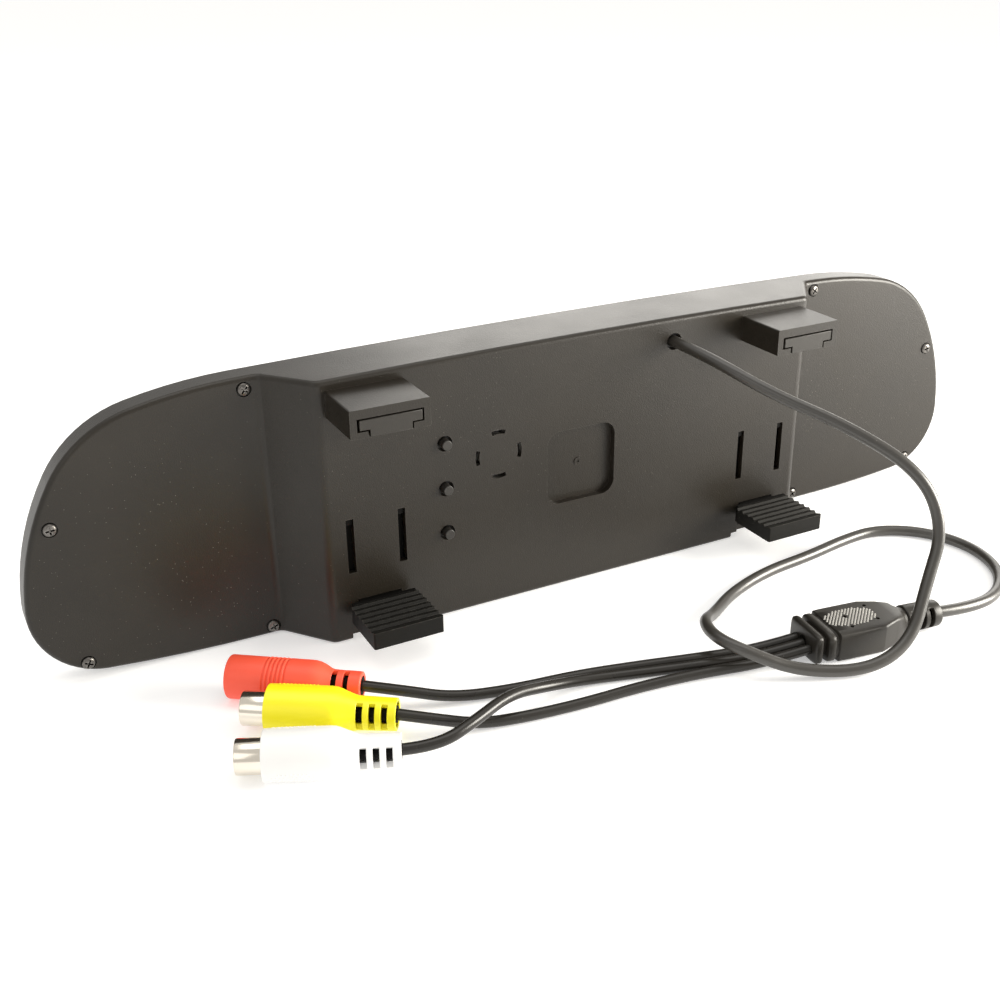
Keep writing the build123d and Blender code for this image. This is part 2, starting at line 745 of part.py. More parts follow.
wire_count, wire_radius, wire_spread, wire_pitch = 4, 0.5, 2.2, 1.3
wire_y = y_back + plug_near + header_plug_height / 2
with BuildPart() as inner_wires:
    for number in range(wire_count):
        place = number - (wire_count - 1) / 2
        low_x = lead_x + place * wire_spread
        high_x = lead_x + place * wire_pitch
        with BuildLine() as wire:
            FilletPolyline(
                (low_x, wire_y, header_z + 10.0),
                (low_x, wire_y, header_z + 14.5),
                (high_x, wire_y + 1.2, lead_z),
                (high_x, y_back + anchor_far, lead_z),
                radius=[2.0, 1.2],
            )
        with BuildSketch(Plane(origin=wire.line @ 0, z_dir=wire.line % 0)):
            Circle(wire_radius)
        sweep(path=wire.line)
save(inner_wires.part, "inner_wires")


def bend_radii(points):
    """Largest tangent arc that the runs beside each point leave room for."""
    corners = [Vector(point) for point in points]
    radii = []
    for before, here, after in zip(corners, corners[1:], corners[2:]):
        turn = (here - before).get_angle(after - here)
        shorter = min((here - before).length, (after - here).length)
        radii.append(bend_share * shorter / tan(radians(turn / 2)))
    return radii


def cord(points, diameter, name):
    radii = bend_radii(points)
    with BuildPart() as tube:
        with BuildLine() as path:
            FilletPolyline(*points, radius=radii)
        with BuildSketch(Plane(origin=path.line @ 0, z_dir=path.line % 0)):
            Circle(diameter / 2)
        sweep(path=path.line)
    length = path.wires()[0].length
    volume_share = tube.part.volume / (length * pi * diameter**2 / 4)
    print(name, "length", round(length, 1), "volume share", round(volume_share, 4))
    print("  radii", [round(radius, 1) for radius in radii])
    save(tube.part, name)


# Junction block: its mouth, its heading and the height of its middle
mouth_x, mouth_y = 29.4, -64.4
block_heading = Vector(0.990, -0.140, 0).normalized()
block_across = Vector(-block_heading.Y, block_heading.X, 0)
block_half_height, block_half_width = 4.2, 7.1
block_length, neck_length, relief_length = 27.0, 3.0, 10.8
block_flange, block_groove = 2.0, 1.6
block_shoulder, block_neck = 21.0, 3.8
block_corner = 0.7
relief_start = block_length + neck_length
relief_end = relief_start + relief_length
relief_slots, relief_slot_pitch, relief_slot_width = 3, 2.7, 1.3
relief_radius, relief_tip_radius = cord_diameter / 2 + 2.3, cord_diameter / 2 + 2.0
relief_core = cord_diameter / 2 + 0.3
pin_places = ((12.5, 0.6), (11.5, -4.4), (20.0, -3.2), (20.5, 3.8))
pin_radius, pin_depth = 0.55, 1.2
mouth = Vector(mouth_x, mouth_y, block_half_height)
branch_z = block_half_height - 0.8
block_end = mouth + block_heading * relief_end


def branch_start(place):
    start = mouth + block_across * (place * branch_pitch)
    return (start.X, start.Y, branch_z)


block_plan = Plane(origin=mouth, x_dir=block_heading, z_dir=(0, 0, 1))
block_side = Plane(origin=mouth, x_dir=block_heading, z_dir=-block_across)
body_start = block_flange + block_groove
with BuildPart() as junction_block:
    with BuildSketch(block_plan):
        with Locations((block_flange / 2, 0)):
            Rectangle(block_flange, 2 * block_half_width - 0.8)
        with BuildLine():
            Polyline(
                (body_start, -block_half_width),
                (block_shoulder, -block_half_width),
                (block_length, -block_neck),
                (block_length, block_neck),
                (block_shoulder, block_half_width),
                (body_start, block_half_width),
                close=True,
            )
        make_face()
    extrude(amount=block_half_height, both=True)
    fillet(junction_block.edges().filter_by(Axis.Z), radius=block_corner)
    fillet(junction_block.faces().filter_by(Axis.Z).edges(), radius=block_corner)
    with BuildSketch(block_plan):
        with Locations((block_flange + block_groove / 2 + 0.2, 0)):
            Rectangle(block_groove + 1.4, 2 * block_half_width - 3.4)
    extrude(amount=block_half_height - 1.2, both=True)
    # Tapered neck, and the relief with its slots
    with BuildSketch(block_side):
        with BuildLine():
            Polyline(
                (block_length - 1.0, 0),
                (block_length - 1.0, block_neck - 0.1),
                (relief_start, block_neck - 0.5),
                (relief_start, relief_radius),
                (relief_end, relief_tip_radius),
                (relief_end, 0),
                close=True,
            )
        make_face()
    revolve(axis=Axis(mouth, block_heading))
    with BuildSketch(block_side):
        for number in range(relief_slots):
            with Locations((relief_start + 2.2 + relief_slot_pitch * number, 0)):
                Rectangle(relief_slot_width, 1.5 * relief_tip_radius)
    extrude(amount=2 * relief_radius, both=True, mode=Mode.SUBTRACT)
    with BuildSketch(block_side):
        with BuildLine():
            Polyline(
                (relief_start, 0),
                (relief_start, relief_core),
                (relief_end - 1, relief_core),
                (relief_end - 1, 0),
                close=True,
            )
        make_face()
    revolve(axis=Axis(mouth, block_heading))
    # Shallow groove across the top, and four moulding pin holes
    with BuildSketch(block_plan.offset(block_half_height)):
        with Locations((body_start + 2.4, 0)):
            Rectangle(1.0, 2 * block_half_width + 2)
    extrude(amount=-0.4, mode=Mode.SUBTRACT)
    with BuildSketch(block_plan.offset(block_half_height)):
        with Locations(*pin_places):
            Circle(pin_radius)
    extrude(amount=-pin_depth, mode=Mode.SUBTRACT)
save(junction_block.part, "junction_block")

# Plugs: where the cord leaves each one, its heading towards the open end, and its radius
phono_radius = 6.05
power_radius = 5.5
white_tail = Vector(-82.0, -60.3, phono_radius)
white_heading = Vector(-0.911, 0.410, 0).normalized()
yellow_tail = Vector(-77.4, -47.2, phono_radius)
yellow_heading = Vector(-0.841, 0.540, 0).normalized()
red_tail = Vector(-79.8, -31.2, power_radius)
red_heading = Vector(-0.810, 0.587, 0).normalized()

barrel_radius, barrel_root, barrel_bore = 4.2, 4.0, 3.55
contact_radius, contact_bore = 2.1, 1.62
phono_relief, phono_taper = 9.5, 15.0
phono_tail_radius, phono_neck_radius = 3.9, 4.1
phono_windows = ((2.75, 0), (5.65, 0), (8.55, 0))
phono_window_width, phono_window_height = 1.5, 3.9
grip_end, barrel_end = 30.9, 37.1
barrel_seat = 4.0
socket_wall = 0.6
window_floor = branch_diameter / 2 + 0.3


def plug_plane(tail, heading):
    """Upright plane through a plug's middle: its X runs to the open end and its Y is up."""
    return Plane(origin=tail, x_dir=heading, z_dir=Vector(heading.Y, -heading.X, 0))


def turned(tail, heading, profile, name):
    """Solid of revolution about a plug's own middle line."""
    with BuildPart() as piece:
        with BuildSketch(plug_plane(tail, heading)):
            with BuildLine():
                Polyline(*profile, close=True)
            make_face()
        revolve(axis=Axis(tail, heading))
    save(piece.part, name)


def phono_socket(tail, heading, colour):
    side = plug_plane(tail, heading)
    seat = grip_end - barrel_seat
    with BuildPart() as grip:
        with BuildSketch(side):
            with BuildLine():
                Polyline(
                    (0, 0),
                    (0, phono_tail_radius),
                    (phono_relief, phono_neck_radius),
                    (phono_taper, phono_radius),
                    (grip_end, phono_radius),
                    (grip_end, barrel_root),
                    (seat, barrel_root),
                    (seat, 0),
                    close=True,
                )
            make_face()
        revolve(axis=Axis(tail, heading))
        for place in both_sides:
            with BuildSketch(side.offset(place * window_floor)):
                with Locations(*phono_windows):
                    Rectangle(phono_window_width, phono_window_height)
            extrude(amount=place * phono_radius, mode=Mode.SUBTRACT)
    save(grip.part, f"{colour}_grip")
    barrel_profile = [
        (seat, barrel_bore),
        (seat, barrel_root),
        (grip_end, barrel_root),
        (grip_end, barrel_radius),
        (barrel_end, barrel_radius),
        (barrel_end, barrel_bore),
    ]
    turned(tail, heading, barrel_profile, f"{colour}_barrel")
    contact_seat = seat + socket_wall
    insulator_profile = [
        (seat, 0),
        (seat, barrel_bore),
        (barrel_end - 0.5, barrel_bore),
        (barrel_end - 0.5, contact_radius),
        (contact_seat, contact_radius),
        (contact_seat, 0),
    ]
    turned(tail, heading, insulator_profile, f"{colour}_insulator")
    contact_end = barrel_end - 0.7
    contact_profile = [
        (contact_seat, contact_bore),
        (contact_seat, contact_radius),
        (contact_end, contact_radius),
        (contact_end, contact_bore),
    ]
    turned(tail, heading, contact_profile, f"{colour}_contact")
    middle = tail + heading * ((contact_seat + contact_end) / 2)
    print(colour, "contact middle", [round(value, 3) for value in middle])
    print("  length", round(contact_end - contact_seat, 2))


phono_socket(white_tail, white_heading, "white")
phono_socket(yellow_tail, yellow_heading, "yellow")

power_end, power_relief, power_taper = 33.7, 6.6, 11.0
power_tail_radius, power_neck_radius = 3.3, 3.6
power_windows = ((3.4, 0), (6.0, 0))
power_window_width, power_window_height = 1.3, 3.4
ring_start, ring_pitch, ring_count, ring_size = 19.4, 1.1, 4, 0.5
socket_start, socket_radius, insert_radius = 23.0, 2.9, 4.2
insert_seat = socket_start - 2.0
power_pin_radius, liner_thickness = 1.0, 0.15
red_side = plug_plane(red_tail, red_heading)
with BuildPart() as red_grip:
    with BuildSketch(red_side):
        with BuildLine():
            Polyline(
                (0, 0),
                (0, power_tail_radius),
                (power_relief, power_neck_radius),
                (power_taper, power_radius),
                (power_end, power_radius),
                (power_end, insert_radius),
                (insert_seat, insert_radius),
                (insert_seat, 0),
                close=True,
            )
        make_face()
    revolve(axis=Axis(red_tail, red_heading))
    for place in both_sides:
        with BuildSketch(red_side.offset(place * window_floor)):
            with Locations(*power_windows):
                Rectangle(power_window_width, power_window_height)
        extrude(amount=place * power_radius, mode=Mode.SUBTRACT)
    with BuildSketch(red_side):
        for number in range(ring_count):
            with Locations((ring_start + number * ring_pitch, power_radius)):
                Rectangle(ring_size, ring_size)
    revolve(axis=Axis(red_tail, red_heading), mode=Mode.SUBTRACT)
save(red_grip.part, "red_grip")
insert_profile = [
    (insert_seat, 0),
    (insert_seat, insert_radius),
    (power_end - 0.2, insert_radius),
    (power_end - 0.2, socket_radius),
    (socket_start, socket_radius),
    (socket_start, 0),
]
turned(red_tail, red_heading, insert_profile, "dc_insert")
pin_profile = [
    (socket_start, 0),
    (socket_start, power_pin_radius),
    (power_end - 1.6, power_pin_radius),
    (power_end - 1.2, 0.6 * power_pin_radius),
    (power_end - 1.2, 0),
]
turned(red_tail, red_heading, pin_profile, "dc_pin")
liner_profile = [
    (socket_start, socket_radius - liner_thickness),
    (socket_start, socket_radius),
    (power_end - 3.0, socket_radius),
    (power_end - 3.0, socket_radius - liner_thickness),
]
turned(red_tail, red_heading, liner_profile, "dc_contact")

# Routes, from the case or the junction block outwards. A height on the floor is half a cord over it
main_floor = cord_diameter / 2 + 0.05
branch_floor = branch_diameter / 2 + 0.05
main_route = [
    (lead_x, y_back + anchor_near, lead_z),
    (29.9, -15.5, lead_z - 0.1),
    (37.8, -34.0, 0.904 * lead_z),
    (50.5, -51.5, 0.812 * lead_z),
    (62.0, -66.5, 0.67 * lead_z),
    (65.2, -72.8, 0.467 * lead_z),
    (59.0, -75.5, 0.274 * lead_z),
    (50.8, -80.8, main_floor + 4.95),
    (37.5, -81.0, main_floor + 0.15),
    (21.0, -73.5, main_floor + 0.75),
    (9.5, -67.0, main_floor + 6.15),
    (5.8, -58.0, main_floor + 6.95),
    (9.0, -48.5, main_floor + 5.95),
    (18.5, -40.5, main_floor + 1.15),
    (31.0, -31.8, main_floor),
    (47.5, -26.2, main_floor),
    (65.5, -24.4, main_floor),
    (82.0, -21.2, main_floor),
    (95.0, -20.8, main_floor),
    (107.0, -29.0, main_floor),
    (112.0, -43.0, main_floor),
    (108.0, -57.5, main_floor),
    (96.5, -68.0, main_floor + 0.25),
    (82.0, -71.8, main_floor + 1.55),
    (block_end.X, block_end.Y, block_end.Z),
]
cord(main_route, cord_diameter, "main_cord")
red_route = [
    branch_start(1),
    (18.5, -59.3, branch_floor + 0.45),
    (4.0, -55.0, branch_floor),
    (-12.5, -50.6, branch_floor),
    (-28.5, -46.8, branch_floor),
    (-45.5, -44.8, branch_floor),
    (-60.5, -41.6, branch_floor + 0.55),
    (-71.6, -37.2, power_radius - 0.5),
    (red_tail.X, red_tail.Y, red_tail.Z),
]
cord(red_route, branch_diameter, "cord_red")
white_route = [
    branch_start(0),
    (17.5, -62.3, branch_floor + 0.45),
    (3.0, -58.1, branch_floor),
    (-13.5, -53.6, branch_floor),
    (-27.0, -50.0, branch_floor + 0.25),
    (-39.5, -50.3, branch_floor + 2.15),
    (-51.5, -54.4, branch_floor + 6.15),
    (-63.5, -60.6, branch_floor + 6.55),
    (-74.3, -63.8, phono_radius + 0.65),
    (white_tail.X, white_tail.Y, white_tail.Z),
]
cord(white_route, branch_diameter, "cord_white")
yellow_route = [
    branch_start(-1),
    (16.5, -65.4, branch_floor + 0.45),
    (1.0, -61.2, branch_floor),
    (-17.0, -58.9, branch_floor),
    (-33.0, -58.4, branch_floor),
    (-48.5, -56.6, branch_floor),
    (-60.0, -54.2, branch_floor + 0.35),
    (-70.2, -51.9, phono_radius - 0.85),
    (yellow_tail.X, yellow_tail.Y, yellow_tail.Z),
]
cord(yellow_route, branch_diameter, "cord_yellow")
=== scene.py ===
import math

import bmesh
import bpy
from mathutils import Matrix, Vector


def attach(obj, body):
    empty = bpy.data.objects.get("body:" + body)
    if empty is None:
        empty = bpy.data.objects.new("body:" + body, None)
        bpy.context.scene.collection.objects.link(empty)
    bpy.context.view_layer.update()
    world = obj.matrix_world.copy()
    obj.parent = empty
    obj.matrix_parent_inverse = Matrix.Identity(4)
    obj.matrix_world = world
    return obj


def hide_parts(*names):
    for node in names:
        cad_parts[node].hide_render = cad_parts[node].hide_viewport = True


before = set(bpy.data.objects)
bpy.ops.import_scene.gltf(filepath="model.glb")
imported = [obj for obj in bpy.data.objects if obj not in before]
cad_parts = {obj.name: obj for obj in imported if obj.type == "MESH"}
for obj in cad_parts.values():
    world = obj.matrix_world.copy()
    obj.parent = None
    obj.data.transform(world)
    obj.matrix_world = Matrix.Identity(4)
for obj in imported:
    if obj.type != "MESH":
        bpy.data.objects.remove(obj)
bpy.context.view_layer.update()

mm = 0.001
fullTurn = 2 * math.pi
scene = bpy.context.scene


# Camera, floor and lights

camera = {
    "place": (-167.87 * mm, -277.62 * mm, 175.69 * mm),
    "yaw": 27.173,     # degrees from +Y towards +X
    "pitch": 24.937,   # degrees down
    "roll": -0.823,
    "lens": 45.205,    # for a 36 mm sensor
}


def makeCamera(values):
    yaw, pitch, roll = (math.radians(values[key]) for key in ("yaw", "pitch", "roll"))
    ahead = Vector((math.sin(yaw) * math.cos(pitch), math.cos(yaw) * math.cos(pitch), -math.sin(pitch)))
    right = Vector((math.cos(yaw), -math.sin(yaw), 0))
    up = right.cross(ahead)
    turnedRight = math.cos(roll) * right + math.sin(roll) * up
    turnedUp = math.cos(roll) * up - math.sin(roll) * right
    lens = bpy.data.cameras.new("viewCamera")
    lens.lens = values["lens"]
    lens.sensor_width = 36
    lens.clip_start = 0.01
    lens.clip_end = 60
    eye = bpy.data.objects.new("viewCamera", lens)
    scene.collection.objects.link(eye)
    axes = Matrix((turnedRight, turnedUp, -ahead)).transposed()
    eye.matrix_world = Matrix.Translation(values["place"]) @ axes.to_4x4()
    scene.camera = eye


makeCamera(camera)

studio = {
    "floorHalf": 30.0,
    "floorColour": (0.84, 0.84, 0.84),
    "floorGlow": 0.44,
    "worldColour": (1.0, 0.98, 0.945),
    "worldStrength": 0.74,
    "lamps": {         # place, what it faces, width, height, watts, colour
        "backPanel": ((0.85, 0.95, 0.42), (0, 0, 0.05), 1.1, 0.7, 6.4, (1.0, 0.97, 0.91)),
        "topPanel": ((0.05, 0.1, 1.25), (0, 0, 0.02), 1.3, 0.8, 5.0, (1.0, 0.98, 0.94)),
        "leftPanel": ((-1.1, -0.5, 0.75), (0, 0, 0.03), 0.7, 0.7, 1.4, (1.0, 0.975, 0.93)),
        "rightPanel": ((0.5, -0.3, 0.17), (0.13, 0, 0.045), 0.3, 0.28, 7.2, (1.0, 0.96, 0.88)),
    },
}


def makeStudio(values):
    bm = bmesh.new()
    bmesh.ops.create_grid(bm, x_segments=1, y_segments=1, size=values["floorHalf"])
    mesh = bpy.data.meshes.new("floor")
    bm.to_mesh(mesh)
    bm.free()
    floor = bpy.data.objects.new("floor", mesh)
    scene.collection.objects.link(floor)
    paint = bpy.data.materials.new("floorPaint")
    paint.use_nodes = True
    shader = paint.node_tree.nodes["Principled BSDF"]
    shader.inputs["Base Color"].default_value = (*values["floorColour"], 1)
    shader.inputs["Roughness"].default_value = 0.85
    shader.inputs["Specular IOR Level"].default_value = 0.15
    shader.inputs["Emission Color"].default_value = (*values["floorColour"], 1)
    shader.inputs["Emission Strength"].default_value = values["floorGlow"]
    mesh.materials.append(paint)
    world = bpy.data.worlds.new("softRoom")
    scene.world = world
    world.use_nodes = True
    world.node_tree.nodes["Background"].inputs["Color"].default_value = (*values["worldColour"], 1)
    world.node_tree.nodes["Background"].inputs["Strength"].default_value = values["worldStrength"]
    for name, (place, target, width, height, watts, colour) in values["lamps"].items():
        lamp = bpy.data.lights.new(name, "AREA")
        lamp.shape = "RECTANGLE"
        lamp.size, lamp.size_y = width, height
        lamp.energy = watts
        lamp.color = colour
        holder = bpy.data.objects.new(name, lamp)
        scene.collection.objects.link(holder)
        holder.location = place
        holder.rotation_mode = "QUATERNION"
        holder.rotation_quaternion = (Vector(target) - Vector(place)).to_track_quat("-Z", "Y")


makeStudio(studio)
scene.view_settings.view_transform = "Standard"
print("camera, floor and lights are set")


# Shader groups shared by the materials

def newGroup(name, inputs, outputs):
    tree = bpy.data.node_groups.new(name, "ShaderNodeTree")
    for socketName, kind, value in inputs:
        socket = tree.interface.new_socket(name=socketName, in_out="INPUT", socket_type=kind)
        socket.default_value = value
    for socketName, kind in outputs:
        tree.interface.new_socket(name=socketName, in_out="OUTPUT", socket_type=kind)
    return tree, tree.nodes.new("NodeGroupInput"), tree.nodes.new("NodeGroupOutput")


def addMath(tree, operation, *values, clamp=False):
    node = tree.nodes.new("ShaderNodeMath")
    node.operation = operation
    node.use_clamp = clamp
    for number, value in enumerate(values):
        if isinstance(value, (int, float)):
            node.inputs[number].default_value = value
        else:
            tree.links.new(value, node.inputs[number])
    return node.outputs[0]


def addNoise(tree, place, scale, detail=2.0, roughness=0.5):
    node = tree.nodes.new("ShaderNodeTexNoise")
    tree.links.new(place, node.inputs["Vector"])
    for key, value in (("Scale", scale), ("Detail", detail), ("Roughness", roughness)):
        if isinstance(value, (int, float)):
            node.inputs[key].default_value = value
        else:
            tree.links.new(value, node.inputs[key])
    return node


def addRange(tree, value, low, high, newLow=0.0, newHigh=1.0):
    node = tree.nodes.new("ShaderNodeMapRange")
    tree.links.new(value, node.inputs["Value"])
    for key, bound in (("From Min", low), ("From Max", high), ("To Min", newLow), ("To Max", newHigh)):
        if isinstance(bound, (int, float)):
            node.inputs[key].default_value = bound
        else:
            tree.links.new(bound, node.inputs[key])
    return node.outputs["Result"]


def mouldedGrain():
    tree, given, result = newGroup(
        "mouldedGrain",
        [
            ("Scale", "NodeSocketFloat", 2600.0),
            ("Pits", "NodeSocketFloat", 0.5),
            ("Ripple", "NodeSocketFloat", 0.3),
        ],
        [("Height", "NodeSocketFloat")],
    )
    place = tree.nodes.new("ShaderNodeTexCoord").outputs["Object"]
    cells = tree.nodes.new("ShaderNodeTexVoronoi")
    tree.links.new(place, cells.inputs["Vector"])
    tree.links.new(given.outputs["Scale"], cells.inputs["Scale"])
    fine = addNoise(tree, place, addMath(tree, "MULTIPLY", given.outputs["Scale"], 1.7), 3.0)
    broad = addNoise(tree, place, addMath(tree, "MULTIPLY", given.outputs["Scale"], 0.035), 2.0)
    pits = addMath(tree, "MULTIPLY", cells.outputs["Distance"], given.outputs["Pits"])
    both = addMath(tree, "MULTIPLY_ADD", fine.outputs["Fac"], 0.5, pits)
    height = addMath(tree, "MULTIPLY_ADD", broad.outputs["Fac"], given.outputs["Ripple"], both)
    tree.links.new(height, result.inputs["Height"])
    return tree


def dustSpecks():
    tree, given, result = newGroup(
        "dustSpecks",
        [
            ("Scale", "NodeSocketFloat", 420.0),
            ("Size", "NodeSocketFloat", 0.1),
            ("Share", "NodeSocketFloat", 0.4),
        ],
        [("Mask", "NodeSocketFloat")],
    )
    place = tree.nodes.new("ShaderNodeTexCoord").outputs["Object"]
    cells = tree.nodes.new("ShaderNodeTexVoronoi")
    tree.links.new(place, cells.inputs["Vector"])
    tree.links.new(given.outputs["Scale"], cells.inputs["Scale"])
    split = tree.nodes.new("ShaderNodeSeparateColor")
    tree.links.new(cells.outputs["Color"], split.inputs[0])
    size = addMath(tree, "MULTIPLY", given.outputs["Size"], split.outputs["Green"])
    spot = addMath(tree, "LESS_THAN", cells.outputs["Distance"], size)
    chosen = addMath(tree, "LESS_THAN", split.outputs["Red"], given.outputs["Share"])
    patches = addNoise(tree, place, 24.0, 2.0)
    gathered = addRange(tree, patches.outputs["Fac"], 0.38, 0.62)
    mask = addMath(tree, "MULTIPLY", addMath(tree, "MULTIPLY", spot, chosen), gathered)
    tree.links.new(mask, result.inputs["Mask"])
    return tree


def edgeWear():
    tree, given, result = newGroup(
        "edgeWear",
        [
            ("Radius", "NodeSocketFloat", 0.0005),
            ("Amount", "NodeSocketFloat", 1.0),
            ("Break", "NodeSocketFloat", 300.0),
        ],
        [("Mask", "NodeSocketFloat")],
    )
    rounded = tree.nodes.new("ShaderNodeBevel")
    rounded.samples = 4
    tree.links.new(given.outputs["Radius"], rounded.inputs["Radius"])
    solid = tree.nodes.new("ShaderNodeNewGeometry")
    dot = tree.nodes.new("ShaderNodeVectorMath")
    dot.operation = "DOT_PRODUCT"
    tree.links.new(rounded.outputs["Normal"], dot.inputs[0])
    tree.links.new(solid.outputs["Normal"], dot.inputs[1])
    edge = addRange(tree, dot.outputs["Value"], 0.995, 0.86)
    place = tree.nodes.new("ShaderNodeTexCoord").outputs["Object"]
    broken = addNoise(tree, place, given.outputs["Break"], 4.0, 0.65)
    patchy = addRange(tree, broken.outputs["Fac"], 0.36, 0.66)
    worn = addMath(tree, "MULTIPLY", edge, patchy)
    mask = addMath(tree, "MULTIPLY", worn, given.outputs["Amount"], clamp=True)
    tree.links.new(mask, result.inputs["Mask"])
    return tree


def colourDrift():
    tree, given, result = newGroup(
        "colourDrift",
        [
            ("First", "NodeSocketColor", (0.1, 0.1, 0.1, 1)),
            ("Second", "NodeSocketColor", (0.12, 0.12, 0.12, 1)),
            ("Scale", "NodeSocketFloat", 18.0),
        ],
        [("Colour", "NodeSocketColor"), ("Value", "NodeSocketFloat")],
    )
    place = tree.nodes.new("ShaderNodeTexCoord").outputs["Object"]
    cloud = addNoise(tree, place, given.outputs["Scale"], 4.0, 0.55)
    amount = addRange(tree, cloud.outputs["Fac"], 0.3, 0.7)
    mix = tree.nodes.new("ShaderNodeMix")
    mix.data_type = "RGBA"
    tree.links.new(amount, mix.inputs["Factor"])
    tree.links.new(given.outputs["First"], mix.inputs["A"])
    tree.links.new(given.outputs["Second"], mix.inputs["B"])
    tree.links.new([o for o in mix.outputs if o.type == "RGBA"][0], result.inputs["Colour"])
    tree.links.new(amount, result.inputs["Value"])
    return tree


groups = {"grain": mouldedGrain(), "dust": dustSpecks(), "wear": edgeWear(), "drift": colourDrift()}


# Materials: one row of values each. Colours are base and drifted; grain is scale, pits and ripple;
# bump is in millimetres; dust is scale, size and share; wear is radius, amount and break

